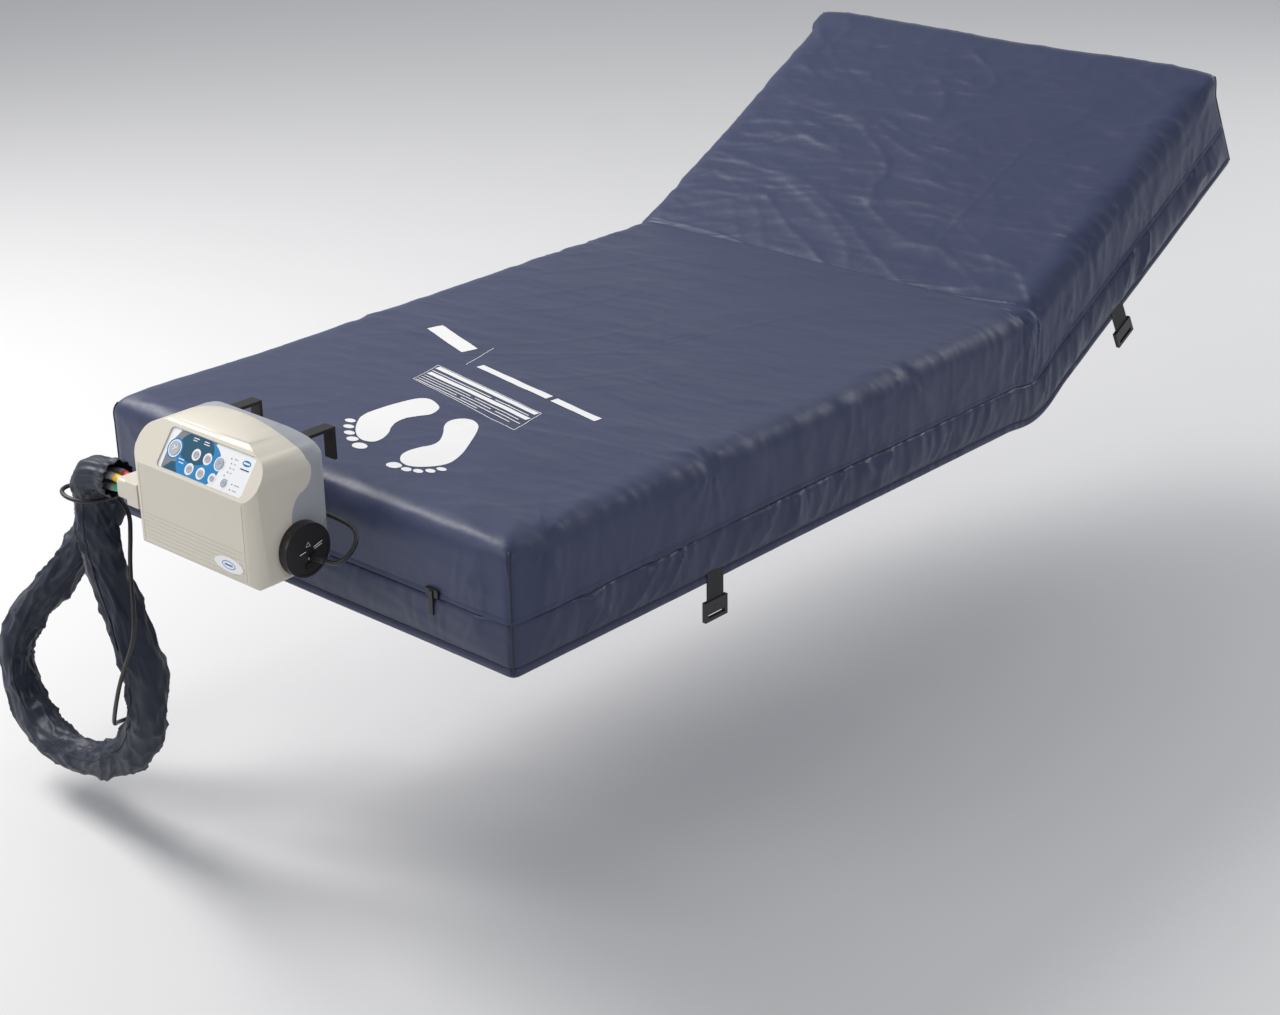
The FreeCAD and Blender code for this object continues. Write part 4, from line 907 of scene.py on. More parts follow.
@dataclass
class Cover:
    """The zipped cover: top, base, zipper, piping and seams."""

    form: CoverForm
    cell: float = 5.4 * MM
    folds: list[Fold] = field(default_factory=list)

    def __post_init__(self) -> None:
        """Works out the stretches round the three hinges."""
        form = self.form
        half = form.back_angle / 2
        way = (0.0, form.bend_reach * math.cos(half), form.bend_reach * math.sin(half))
        mid_thigh = (form.thigh_hinge + form.knee_hinge) / 2
        self.folds = [
            Fold("back", 0.0, 9.0, "seat", "back", (0, form.back_hinge - way[1], -way[2]),
                 (0, form.back_hinge + way[1], way[2]), ("top_cover_back", "cover_fold_back"),
                 ("base_cover_back",), ("zipper_back",)),
            Fold("thigh", mid_thigh, 0.0, "seat", "thigh", (0, form.thigh_hinge + form.bend_reach, 0),
                 (0, form.thigh_hinge - form.bend_reach, 0),
                 ("top_cover_seat", "top_cover_thigh", "cover_fold_thigh"),
                 ("base_cover_seat", "base_cover_thigh"), ("zipper_seat", "zipper_thigh")),
            Fold("calf", -9.0, mid_thigh, "thigh", "calf", (0, form.knee_hinge + form.bend_reach, 0),
                 (0, form.knee_hinge - form.bend_reach, 0), ("top_cover_calf",),
                 ("base_cover_calf",), ("zipper_calf",)),
        ]
        self.across = np.linspace(-form.reach_a, form.reach_a, round(2 * form.reach_a / self.cell) + 1)
        self.lengthways = np.linspace(-form.reach_b, form.reach_b, round(2 * form.reach_b / self.cell) + 1)

    def rim(self) -> tuple[Array, Array, Array]:
        """The top sheet's edge, once round.

        Returns:
            The vertices' numbers, and their a and b.
        """
        wide, long = len(self.across), len(self.lengthways)
        ring = [(i, 0) for i in range(wide)] + [(wide - 1, j) for j in range(1, long)]
        ring += [(i, long - 1) for i in range(wide - 2, -1, -1)] + [(0, j) for j in range(long - 2, 0, -1)]
        i, j = np.array(ring).T
        return j * wide + i, self.across[i], self.lengthways[j]

    def wall(self, rows: Sequence[Row], wave: float = 0.0) -> tuple[Array, Array, Array]:
        """Closed rows of vertices round the mattress's wall.

        Args:
            rows: The rows' heights and lifts.
            wave: How far the rows wander up and down.
        Returns:
            The places, their cloth coordinates and the quads between them.
        """
        form = self.form
        _, a, b = self.rim()
        places, cloth = [], []
        for row in rows:
            on_arc = row.height > form.shelf
            angle = math.asin(min((row.height - form.shelf) / form.edge, 1)) if on_arc else 0.0
            rise = min(angle, math.pi / 4)
            drop = 0.0 if on_arc else form.shelf - row.height
            wander = wave * noise(stack(a / 0.33, b / 0.33, 9.5), 61)
            places.append(form.place(a, b, rise, drop + wander, row.lift))
            u, v, _ = form.cloth(a, b, np.full_like(a, rise), np.full_like(a, drop))
            cloth.append(stack(u, v))
        faces = grid_faces(len(rows), len(a), closed=True)
        return np.concatenate(places), np.concatenate(cloth), np.array(faces)[:, ::-1]

    def cut(self, name: str, flat: Array, cloth: Array, faces: Array, finish: Finish,
            nodes: Callable[[Fold], tuple[str, ...]], slot: str, padded: bool = False) -> None:
        """Cuts a part of the cover, raised at the back, into its stretches round the hinges.

        Args:
            name: The part's name.
            flat: Its places on the flat mattress.
            cloth: Its places in the cloth.
            faces: Its quads.
            finish: Its finish.
            nodes: Gives the solids that a stretch stands for.
            slot: Its material slot; not used.
            padded: Whether it is part of the stuffed form; not used.
        """
        places = self.form.bend(flat)
        normals = vertex_normals(places, faces)
        middle = flat[:, 1][faces].mean(axis=1)
        for fold in self.folds:
            picked = faces[(middle >= fold.low_y) & (middle < fold.high_y)]
            used, renumbered = np.unique(picked, return_inverse=True)
            piece = mesh_piece(f"{name}_{fold.name}", places[used], renumbered.reshape(-1, 4),
                               cloth[used], normals[used])
            finish.dress(piece)
            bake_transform(piece)
            if nodes(fold):
                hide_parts(*nodes(fold))
            LOG.info("%s: %d vertices", piece.name, len(used))

    def build(self) -> None:
        """Builds all of the cover."""
        self.build_top()
        self.build_base()
        self.build_zipper()
        self.build_seams()

    def build_top(self) -> None:
        """The top cover: its sheet, its wall and the flap over the zipper."""
        form = self.form
        a, b = (grid.ravel() for grid in np.meshgrid(self.across, self.lengthways))
        sheet = form.place(a, b, math.pi / 4, 0.0)
        faces = grid_faces(len(self.lengthways), len(self.across))
        arc_steps = 6
        rows = [Row(form.shelf + form.edge * math.sin(math.pi / 4 * (1 - step / arc_steps)))
                for step in range(arc_steps)]
        flap = form.zip_height - 5.5 * MM
        walls = np.linspace(form.shelf, form.zip_height + 4 * MM, 10)
        rows += [Row(height) for height in walls[:-1]]
        rows += [Row(form.zip_height + 3.2 * MM, 0.4 * MM), Row(form.zip_height + 2 * MM, -0.5 * MM),
                 Row(form.zip_height + 0.8 * MM, 0.8 * MM), Row(flap + 1.5 * MM, 2.2 * MM),
                 Row(flap + 0.4 * MM, 2.1 * MM), Row(flap, 1.2 * MM), Row(flap + 0.8 * MM, 0.3 * MM),
                 Row(flap + 3 * MM, -1.2 * MM)]
        places, cloth, band = self.wall(rows, wave=3 * MM)
        ring, _, _ = self.rim()
        count = len(sheet)
        merged = np.where(band < len(ring), ring[np.minimum(band, len(ring) - 1)], band - len(ring) + count)
        flat = np.concatenate([sheet, places[len(ring):]])
        level = np.full_like(a, math.pi / 4)
        u, v, _ = form.cloth(a, b, level, np.zeros_like(a))
        all_cloth = np.concatenate([stack(u, v), cloth[len(ring):]])
        all_faces = np.concatenate([np.array(faces), merged])
        self.cut("top_cloth", flat, all_cloth, all_faces, NYLON, lambda fold: fold.top_nodes,
                 "cover_fabric", padded=True)

    def build_base(self) -> None:
        """The base cover: its wall, its hem and the underside."""
        form = self.form
        upper = form.zip_height - 7.5 * MM
        rows = [Row(upper, -1.2 * MM), Row(upper - 1.5 * MM, -0.4 * MM), Row(upper - 4 * MM, 0.3 * MM)]
        rows += [Row(height, 0.5 * MM) for height in np.linspace(upper - 9 * MM, 22 * MM, 9)]
        rows += [Row(18.5 * MM), Row(16.5 * MM, -2.4 * MM), Row(14.5 * MM, -0.2 * MM),
                 Row(11 * MM, 0.9 * MM), Row(7 * MM, 0.6 * MM), Row(3.5 * MM, -1 * MM),
                 Row(1.4 * MM, -4 * MM), Row(0.8 * MM, -12 * MM)]
        places, cloth, faces = self.wall(rows, wave=2 * MM)
        places[:, 2] = np.maximum(places[:, 2], 0.8 * MM)
        self.cut("base_cloth", places, cloth, faces, BASE_NYLON, lambda fold: fold.base_nodes,
                 "base_fabric", padded=True)
        inset = 8 * MM
        across = np.linspace(-form.half_width + inset, form.half_width - inset, 38)
        along = np.linspace(-form.half_length + inset, form.half_length - inset, 84)
        a, b = (grid.ravel() for grid in np.meshgrid(across, along))
        sag = 0.6 * MM * (1 + noise(stack(a / 0.2, b / 0.2, 0.5), 71))
        flat = stack(a, form.middle + b, 1.0 * MM + sag)
        faces = np.array(grid_faces(len(along), len(across)))[:, ::-1]
        self.cut("underside", flat, stack(a, b), faces, BASE_NYLON, lambda fold: (), "base_fabric")

    def build_zipper(self) -> None:
        """The zipper's tape behind the flap, and its coil."""
        form = self.form
        middle = form.zip_height - 5 * MM
        tape = [Row(middle + 6 * MM, -2.2 * MM), Row(middle, -1.6 * MM), Row(middle - 6 * MM, -2.2 * MM)]
        places, cloth, faces = self.wall(tape, wave=3 * MM)
        self.cut("zip_tape", places, cloth, faces, ZIP_TAPE, lambda fold: fold.zip_nodes, "zip_tape")
        coil = [Row(middle + 1.8 * MM, -1.4 * MM), Row(middle + 0.9 * MM, -0.3 * MM),
                Row(middle - 0.9 * MM, -0.3 * MM), Row(middle - 1.8 * MM, -1.4 * MM)]
        places, cloth, faces = self.wall(coil, wave=3 * MM)
        self.cut("zip_coil", places, cloth, faces, ZIP_COIL, lambda fold: (), "zip_tape")

    def build_seams(self) -> None:
        """Piping round the hem and down the four corners."""
        form = self.form
        height = 16.5 * MM
        round_rows = [Row(height + 1.5 * MM * math.cos(t), (1.5 * math.sin(t) - 1.2) * MM)
                      for t in np.linspace(0, math.pi, 6)]
        places, cloth, faces = self.wall(round_rows, wave=2 * MM)
        self.cut("hem_piping", places, cloth, faces, PIPING, lambda fold: (), "base_fabric")
        drops = np.linspace(0, form.shelf - 6 * MM, 40)
        rises = np.linspace(math.pi / 4, 0, 8)[:-1]
        for end, body in ((-1, "calf"), (1, "back")):
            for side, hand in ((-1, "left"), (1, "right")):
                rise = np.concatenate([rises, np.zeros_like(drops)])
                drop = np.concatenate([np.zeros_like(rises), drops])
                line = form.place(np.full_like(rise, side * form.reach_a),
                                  np.full_like(rise, end * form.reach_b), rise, drop, 0.2 * MM)
                seam = tube(f"corner_seam_{body}_{hand}", form.bend(line), 1.5 * MM, 8)
                settle(seam, PIPING, body)


# ---------------------------------------------------------------- prints on the cover
@dataclass
class CoverPrints:
    """White prints near the foot end: two foot shapes and a block of plain lines."""

    form: CoverForm
    stand: float = 0.5 * MM
    sole_growth: float = 1.06

    def on_top(self, x: Array, y: Array) -> Array:
        """Places on the mattress's top.

        Args:
            x: Across.
            y: Along.
        Returns:
            The places, just above the cloth.
        """
        return self.form.bend(self.form.place(x, y - self.form.middle, math.pi / 4, 0.0, self.stand))

    def put(self, name: str, outline: Array) -> None:
        """Lays one print on the cover.

        Args:
            name: Its name.
            outline: Its outline, in millimetres.
        """
        piece = outline_plate(name, np.asarray(outline, float) * MM, self.on_top, 5 * MM)
        settle(piece, WHITE_INK, "calf")

    def build(self) -> None:
        """Lays all the prints."""
        left = [(-13, -863), (-42, -853), (-60, -868), (-66, -910), (-74, -960), (-52, -992),
                (-20, -1022), (10, -1034), (30, -1022), (14, -986), (-3, -968), (-14, -940),
                (-2, -914), (10, -898), (2, -874)]
        right = [(72, -871), (52, -888), (58, -914), (86, -940), (106, -972), (93, -1004),
                 (95, -1036), (124, -1057), (152, -1049), (174, -1018), (168, -988), (142, -942),
                 (118, -904), (98, -880)]
        for name, sole in (("left_sole", left), ("right_sole", right)):
            outline = closed_line(sole, 8)
            self.put(name, outline.mean(0) + (outline - outline.mean(0)) * self.sole_growth)
        toes = [(-70, -993, 10, 7), (-52, -1012, 10, 7), (-31, -1029, 10, 7), (-8, -1043, 11, 8),
                (21, -1054, 14, 10), (118, -1072, 14, 10), (144, -1071, 9, 7), (162, -1064, 9, 6),
                (176, -1052, 9, 6), (184, -1037, 9, 6)]
        for number, (x, y, across, along) in enumerate(toes):
            self.put(f"toe_{number}", oval((x, y), (across, along), 28))
        self.build_lines()

    def build_lines(self) -> None:
        """The block of plain lines in its thin frame, and the bars above it."""
        corners = [np.array(c, float) for c in ((-150, -730), (139, -780), (156, -857), (-132, -803))]
        for number, (start, end) in enumerate(zip(corners, corners[1:] + corners[:1])):
            self.put(f"frame_line_{number}", bar(start, end, 1.3))
        down = (corners[3] - corners[0] + corners[2] - corners[1]) / 2
        across = corners[1] - corners[0]
        lines = [(0.10, 0.02, 0.98, 10), (0.29, 0.02, 0.60, 2.2), (0.29, 0.64, 0.95, 2.2),
                 (0.43, 0.02, 0.98, 10), (0.60, 0.02, 0.48, 2), (0.60, 0.52, 0.93, 2),
                 (0.71, 0.02, 0.70, 2), (0.71, 0.74, 0.97, 2), (0.82, 0.02, 0.40, 2),
                 (0.82, 0.44, 0.90, 2), (0.92, 0.02, 0.62, 2)]
        for number, (drop, begin, stop, thick) in enumerate(lines):
            base = corners[0] + down * drop
            self.put(f"text_line_{number}", bar(base + across * begin, base + across * stop, thick))
        self.put("thin_line", bar((-137, -614), (-115, -700), 1.2))
        for number, (start, end, thick) in enumerate((
                ((-92, -690), (100, -722), 15), ((112, -724), (226, -743), 15),
                ((-290, -606), (-160, -648), 30))):
            self.put(f"plain_bar_{number}", bar(start, end, thick))


def oval(centre: Sequence[float], reach: Sequence[float], count: int = OVAL_POINTS) -> Array:
    """An ellipse's outline.

    Args:
        centre: Its centre.
        reach: Its half sizes.
        count: How many points.
    Returns:
        The points.
    """
    turn = np.arange(count) * 2 * math.pi / count
    return np.array(centre) + np.array(reach) * stack(np.cos(turn), np.sin(turn))


def bar(start: Sequence[float], end: Sequence[float], thick: float) -> Array:
    """A straight bar's outline.

    Args:
        start: The middle of one end.
        end: The middle of the other.
        thick: Its width.
    Returns:
        Its corners.
    """
    start, end = np.array(start, float), np.array(end, float)
    way = (end - start) / np.linalg.norm(end - start)
    side = np.array((-way[1], way[0])) * thick / 2
    return np.array([start - side, end - side, end + side, start + side])


def closed_line(points: Sequence[tuple[float, float]], between: int) -> Array:
    """A smooth closed outline guided by points.

    Args:
        points: Its guides.
        between: Points for each guide.
    Returns:
        The outline.
    """
    guides = np.array(points, float)
    before, after = np.roll(guides, 1, axis=0), np.roll(guides, -1, axis=0)
    share = np.arange(between)[None, :, None] / between
    start, end = (before + guides)[:, None] / 2, (guides + after)[:, None] / 2
    smooth = (1 - share) ** 2 * start + 2 * share * (1 - share) * guides[:, None] + share ** 2 * end
    return smooth.reshape(-1, 2)


# ---------------------------------------------------------------- hose and lead
@dataclass
class HoseSleeve:
    """The cloth sleeve round the air hose, gathered at its mouth."""

    step: float = 5 * MM
    around: int = 90
    thinnest: float = 24 * MM
    thickest: float = 42 * MM
    packing: float = 0.19
    # the radius in millimetres, at distances along from the mouth
    girth: tuple[tuple[float, float], ...] = (
        (0, 28), (0.012, 29), (0.03, 27), (0.06, 32), (0.085, 32), (0.105, 29), (0.14, 31),
        (0.30, 32), (0.48, 34), (0.62, 31),
    )
    route: tuple[tuple[int, int, int], ...] = (
        (-197, -1344, 188), (-243, -1344, 188), (-282, -1338, 156), (-293, -1329, 84),
        (-287, -1321, -2), (-254, -1313, -92), (-234, -1306, -182), (-258, -1300, -278),
        (-326, -1295, -356), (-424, -1290, -408), (-536, -1285, -420), (-640, -1275, -386),
        (-694, -1260, -308), (-672, -1238, -224), (-618, -1208, -160), (-594, -1164, -104),
        (-588, -1112, -50), (-568, -1062, 4), (-528, -1036, 46), (-461, -1036, 46),
    )

    def __post_init__(self) -> None:
        """Reads the middle line and how much it bends."""
        self.path = points_on(smooth_line([tuple(c * MM for c in p) for p in self.route]), self.step)
        self.tangent, self.side, self.other = carried_frames(self.path)
        gaps = np.linalg.norm(np.diff(self.path, axis=0), axis=1)
        self.reach = np.concatenate([[0], np.cumsum(gaps)])
        turn = np.gradient(self.tangent, axis=0) / self.step
        kernel = np.hanning(13) / np.hanning(13).sum()
        self.turn = np.stack([np.convolve(turn[:, i], kernel, "same") for i in range(3)], axis=1)

    def radius(self, s: Array, t: Array) -> Array:
        """The cloth's distance from the middle line.

        Args:
            s: How far along.
            t: The angle round.
        Returns:
            The distance.
        """
        length = self.reach[-1]
        base = np.interp(s, *zip(*self.girth)) * MM
        loose = smooth_step(s, 0.02, 0.12) * (1 - 0.6 * smooth_step(s, length - 0.05, length))
        twist = t + 9.0 * s + 0.9 * np.sin(s * 9)
        long = ridges(stack(np.cos(twist) * 1.15, np.sin(twist) * 1.15, s / 0.09), 81, 2.6)
        other = t - 6.5 * s + 1.0
        crossing = ridges(stack(np.cos(other) * 1.5, np.sin(other) * 1.5, s / 0.07), 82, 3.2)
        medium = ridges(stack(np.cos(twist) * 2.4, np.sin(twist) * 2.4, s / 0.045), 83, 3.5)
        fine = noise(stack(np.cos(t) * 6, np.sin(t) * 6, s / 0.016), 84)
        inward = np.clip(self.inside(s, t) * self.packing, 0, 1)
        packed = ridges(stack(np.cos(t) * 0.9, np.sin(t) * 0.9, s / 0.024), 85, 2.0) * inward
        lumps = noise(stack(np.cos(t), np.sin(t), s / 0.06), 86)
        out = base + loose * MM * (6.5 * long + 5.0 * crossing + 3.4 * medium + 2.2 * lumps - 5.6)
        out += MM * (0.6 * fine + 5.0 * packed - 2.5 * inward)
        pleats = np.cos(13 * t + 2.2 * np.sin(2 * t)) * np.exp(-s / 0.05) * 1.7 * MM
        rim = 2.2 * MM * np.exp(-((s - 0.006) / 0.005) ** 2)
        rim -= 1.5 * MM * np.exp(-((s - 0.024) / 0.006) ** 2)
        return np.clip(out + pleats + rim, self.thinnest, self.thickest)

    def inside(self, s: Array, t: Array) -> Array:
        """How strongly a place lies inside a bend.

        Args:
            s: How far along.
            t: The angle round.
        Returns:
            The bend's curvature towards that side.
        """
        row = np.clip(np.round(s / self.reach[-1] * (len(self.path) - 1)).astype(int), 0, len(self.path) - 1)
        spoke = self.side[row] * np.cos(t)[:, None] + self.other[row] * np.sin(t)[:, None]
        return (spoke * self.turn[row]).sum(axis=1)

    def build(self) -> None:
        """The sleeve, its lining and its zipper."""
        sleeve = tube("sleeve_cloth", self.path, self.radius, self.around, capped=False)
        count = round(0.06 / self.step)
        lining = tube("sleeve_lining", self.path[:count], lambda s, t: self.radius(s, t) - 1.2 * MM,
                      self.around, capped=False)
        lining.data.flip_normals()
        twist = 2.4 + 1.5 * self.reach
        edge = self.radius(self.reach, twist)
        spoke = self.side * np.cos(twist)[:, None] + self.other * np.sin(twist)[:, None]
        chosen = slice(8, -4)
        strip = tube("sleeve_zip", (self.path + spoke * (edge + 0.2 * MM)[:, None])[chosen], 1.6 * MM, 8)
        for piece, finish in ((sleeve, SLEEVE_CLOTH), (lining, SLEEVE_CLOTH), (strip, ZIP_TAPE)):
            settle(piece, finish, "seat")
        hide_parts("hose_sleeve")


@dataclass
class MainsLead:
    """The mains lead with its tied hank of spare length."""

    diameter: float = 7 * MM
    foot: Point = (-347.0, -1240.0, -240.0)
    lean: float = 15.0
    turn: float = 33.0
    route: tuple[tuple[int, int, int], ...] = (
        (198, -1280, 149), (218, -1280, 149), (232, -1271, 158), (232, -1249, 175), (212, -1231, 185),
        (176, -1228, 189), (90, -1228, 190), (5, -1228, 181), (-78, -1228, 173), (-145, -1228, 169),
        (-184, -1245, 162), (-212, -1292, 154), (-233, -1328, 145), (-238, -1366, 145), (-270, -1385, 148),
        (-308, -1376, 148), (-329, -1346, 143), (-324, -1310, 136), (-295, -1289, 122), (-264, -1284, 96),
        (-249, -1298, 62), (-236, -1313, 28), (-216, -1329, -8), (-196, -1343, -44), (-199, -1348, -84),
        (-216, -1352, -122), (-240, -1353, -166), (-262, -1351, -214), (-289, -1340, -256),
        (-321, -1319, -284), (-344, -1297, -297), (-347, -1274, -301),
        (-343, -1254, -294), (-339, -1240, -270),
    )
    # the spare length's guides: across, back and up from its foot
    hank: tuple[tuple[float, float, float], ...] = (
        (0, 0, 8), (-15, 0, 68), (0, 0, 131), (-42, -7.4, 131), (-27, -7.4, 68), (-42, -7.4, 7),
        (0, -7.4, 5), (-15, -7.4, 68), (0, -7.4, 127), (-40, -14.8, 127), (-27, -14.8, 68), (-41, -14.8, 12),
        (-1, -14.8, 10), (-15, -14.8, 68), (0, -14.8, 132), (-42, -22.2, 132), (-27, -22.2, 68),
        (-42, -22.2, 5), (0, -22.2, 4), (-15, -22.2, 68), (-12, -16, 112), (-12, -16, 136),
    )

    def in_hank(self, point: Sequence[float]) -> Vector:
        """A place in the hank.

        Args:
            point: Across, back and up from the hank's foot.
        Returns:
            The place in the part's frame.
        """
        spin = Matrix.Rotation(math.radians(-self.lean), 4, "Y") @ Matrix.Rotation(
            math.radians(-self.turn), 4, "Z")
        return (Vector(self.foot) + spin @ Vector(point)) * MM

    def build(self) -> None:
        """The lead and its tie."""
        points = [tuple(c * MM for c in p) for p in self.route] + [tuple(self.in_hank(p)) for p in self.hank]
        curve = smooth_line(points)
        curve.bevel_depth = self.diameter / 2
        curve.bevel_resolution = 5
        curve.use_fill_caps = True
        lead = bpy.data.objects.new("mains_lead_cable", curve)
        bpy.context.scene.collection.objects.link(lead)
        tie = self.build_tie()
        settle(lead, RUBBER, "seat")
        settle(tie, BLACK_PLASTIC, "seat")
        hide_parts("mains_lead", "lead_hank")

    def build_tie(self) -> bpy.types.Object:
        """The strap round the hank's waist.

        Returns:
            The piece.
        """
        half_x, half_y, corner, height, thick, around = 10.5, 15.2, 4.0, 5.5, 1.2, 32
        middle_x, middle_y, waist = -21.0, -11.1, 68.0
        ring = []
        for number in range(around):
            turn = 2 * math.pi * number / around
            ring.append((math.copysign(half_x - corner, math.cos(turn)) + corner * math.cos(turn),
                         math.copysign(half_y - corner, math.sin(turn)) + corner * math.sin(turn)))
        places = []
        for out, up in ((0, -height), (1, -height), (1, height), (0, height), (0, -height)):
            grown = 1 + out * thick / half_y
            for x, y in ring:
                places.append(self.in_hank((middle_x + x * grown, middle_y + y * grown, waist + up)))
        return mesh_piece("hank_tie", np.array(places), grid_faces(5, around, closed=True)[::-1])


@dataclass
class AirTubes:
    """Four air tubes between the connector and the sleeve, with coloured bands."""

    middle: Point = (-171 * MM, -1344.4 * MM, 187.6 * MM)
    spread: float = 7 * MM
    radius: float = 6 * MM
    around: int = 24
    band_steps: int = 9

    def build(self) -> None:
        """The tubes and their bands."""
        bands = {(-1, 1): (BAND_YELLOW,), (-1, -1): (BAND_GREEN,), (1, 1): (BAND_RED,),
                 (1, -1): (BLACK_PLASTIC, BAND_WHITE)}
        sleeve_line = [((-243, -1344, 180), 1.25), ((-268, -1339, 150), 0.9)]
        for (back, up), colours in bands.items():
            offset = np.array((0, back, up)) * self.spread
            start = np.array(self.middle) + offset
            fan = start + np.array((-0.028, back * 2.5 * MM, up * 2.5 * MM))
            guides = [start + (3 * MM, 0, 0), start - (10 * MM, 0, 0), fan]
            guides += [np.array(p) * MM + offset * wide for p, wide in sleeve_line]
            path = points_on(smooth_line([tuple(p) for p in guides]), 2 * MM)
            name = f"air_tube_{'back' if back > 0 else 'front'}_{'upper' if up > 0 else 'lower'}"
            pipe = tube(name, path, self.radius, self.around)
            settle(pipe, TUBE_GREY, "seat")
            share = self.band_steps // len(colours)
            for number, colour in enumerate(colours):
                part = path[2 + number * share:3 + (number + 1) * share]
                band = tube(f"{name}_band_{number}", part, self.radius + 0.45 * MM, self.around)
                settle(band, colour, "seat")
            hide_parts("air_tubes")


# ---------------------------------------------------------------- control unit
@dataclass
class Panel:
    """The tilted front panel's prints, placed by shares of its width and height."""

    middle: Vector = field(default_factory=lambda: Vector((32, -1348.9, 279.1)) * MM)
    up: Vector = field(default_factory=lambda: Vector((0, 0.589, 0.808)))
    out: Vector = field(default_factory=lambda: Vector((0, -0.808, 0.589)))
    width: float = 192.0
    height: float = 62.0
    corner: float = 7.0
    sunk: float = 2.2

    def place(self, x: Array, y: Array, lift: float) -> Array:
        """Places over the panel.

        Args:
            x: Millimetres from its left edge.
            y: Millimetres from its lower edge.
            lift: Millimetres above its face.
        Returns:
            The places.
        """
        x, y = np.asarray(x, float) - self.width / 2, np.asarray(y, float) - self.height / 2
        right = np.array((1.0, 0, 0))
        base = np.array(self.middle + self.out * (lift - self.sunk) * MM)
        return base + MM * (x[:, None] * right + y[:, None] * np.array(self.up))

    def clip(self, outline: Array) -> Array:
        """Keeps an outline inside the panel's rounded corners.

        Args:
            outline: Its points.
        Returns:
            The points, moved in where they were outside.
        """
        margin = 0.6
        low, high = margin, np.array((self.width, self.height)) - margin
        kept = np.clip(outline, low, high)
        centre = np.clip(kept, self.corner, np.array((self.width, self.height)) - self.corner)
        away = kept - centre
        reach = np.linalg.norm(away, axis=1, keepdims=True)
        limit = self.corner - margin
        return np.where(reach > limit, centre + away * limit / np.maximum(reach, 1e-9), kept)

    def put(self, name: str, outline: Array, finish: Finish, lift: float, body: str = "seat",
            slot: str = "panel_graphic") -> None:
        """Lays one print on the panel.

        Args:
            name: Its name.
            outline: Its outline in millimetres.
            finish: Its ink.
            lift: Millimetres above the face.
            body: What it rides on.
            slot: Its material slot; not used.
        """
        piece = outline_plate(name, self.clip(np.asarray(outline, float)),
                              lambda x, y: self.place(x, y, lift), UNCUT)
        settle(piece, finish, body)

    def ring(self, name: str, centre: Sequence[float], inner: float, outer: float, finish: Finish,
             lift: float) -> None:
        """Lays a printed ring on the panel.

        Args:
            name: Its name.
            centre: Its centre in millimetres.
            inner: Its inner radius.
            outer: Its outer radius.
            finish: Its ink.
            lift: Millimetres above the face.
        """
        rim = np.concatenate([oval(centre, (inner, inner)), oval(centre, (outer, outer))])
        piece = mesh_piece(name, self.place(rim[:, 0], rim[:, 1], lift),
                           grid_faces(2, OVAL_POINTS, closed=True)[::-1])
        settle(piece, finish, "seat")

    def build(self) -> None:
        """Lays all the panel's prints."""
        self.put("panel_grey", [(9, 0), (8, 24), (12, 44), (22, 62), (104, 62), (70, 30), (30, 0)],
                 LABEL_GREY, 0.04)
        self.put("panel_low_teal", [(12, 0), (26, 14), (60, 20), (60, 0)], LABEL_TEAL, 0.08)
        self.put("panel_blue", oval((80, 26), (47, 36), 96), LABEL_BLUE, 0.12)
        self.put("panel_teal", oval((66, 43), (38, 23), 96), LABEL_TEAL, 0.16)
        keys = {"mode": (0.115, 0.53, 10.0), "firmer": (0.365, 0.566, 5.6), "softer": (0.498, 0.566, 5.6),
                "comfort": (0.640, 0.567, 7.6), "cycle": (0.353, 0.197, 5.6), "static": (0.486, 0.197, 5.6),
                "mute": (0.624, 0.190, 4.4), "power": (0.762, 0.190, 4.8)}
        blue_rings = {"mode": 6.0, "comfort": 2.4, "power": 2.4}
        for name, (share_x, share_y, radius) in keys.items():
            centre = (share_x * self.width, share_y * self.height)
            self.put(f"{name}_ground", oval(centre, (radius + 3.4, radius + 3.4)), LABEL_WHITE, 0.24)
            if name in blue_rings:
                self.put(f"{name}_blue", oval(centre, (radius + blue_rings[name],) * 2), LABEL_BLUE, 0.20)
                self.ring(f"{name}_ring", centre, radius + 0.6, radius + 1.4, LABEL_BLUE, 0.28)
            self.glyph(name, centre, radius)
        lamps = ((142, 48), (145.5, 41.5), (146.5, 35), (145, 28.5), (141, 22.5), (163, 14.5), (163, 6.5))
        for number, (x, y) in enumerate(lamps):
            self.put(f"lamp_{number}", oval((x, y), (1.0, 1.0), 20), LABEL_DARK, 0.3)
        light = ((52, 57, 12), (52, 53.5, 9), (76, 57, 11), (76, 53.5, 13), (38, 21.5, 13), (41, 16.5, 11))
        dark = ((148, 49, 8), (151, 42, 4), (152, 35, 4), (150, 28.5, 4), (143, 17.5, 9),
                (168, 14.5, 11), (168, 6.5, 9))
        for kind, bars, thick, ink in (("light", light, 1.3, LABEL_WHITE), ("dark", dark, 0.9, LABEL_GREY)):
            for number, (x, y, long) in enumerate(bars):
                self.put(f"{kind}_bar_{number}", bar((x, y), (x + long, y), thick), ink, 0.3)
        self.put("blue_mark", oval((175, 49), (9, 4.5)), LABEL_BLUE, 0.2)
        self.put("blue_mark_bar", bar((168.5, 49), (181.5, 49), 2.6), LABEL_WHITE, 0.3)
        self.put("title_bar", bar((166, 39.5), (185, 39.5), 1.8), LABEL_TEAL, 0.3)

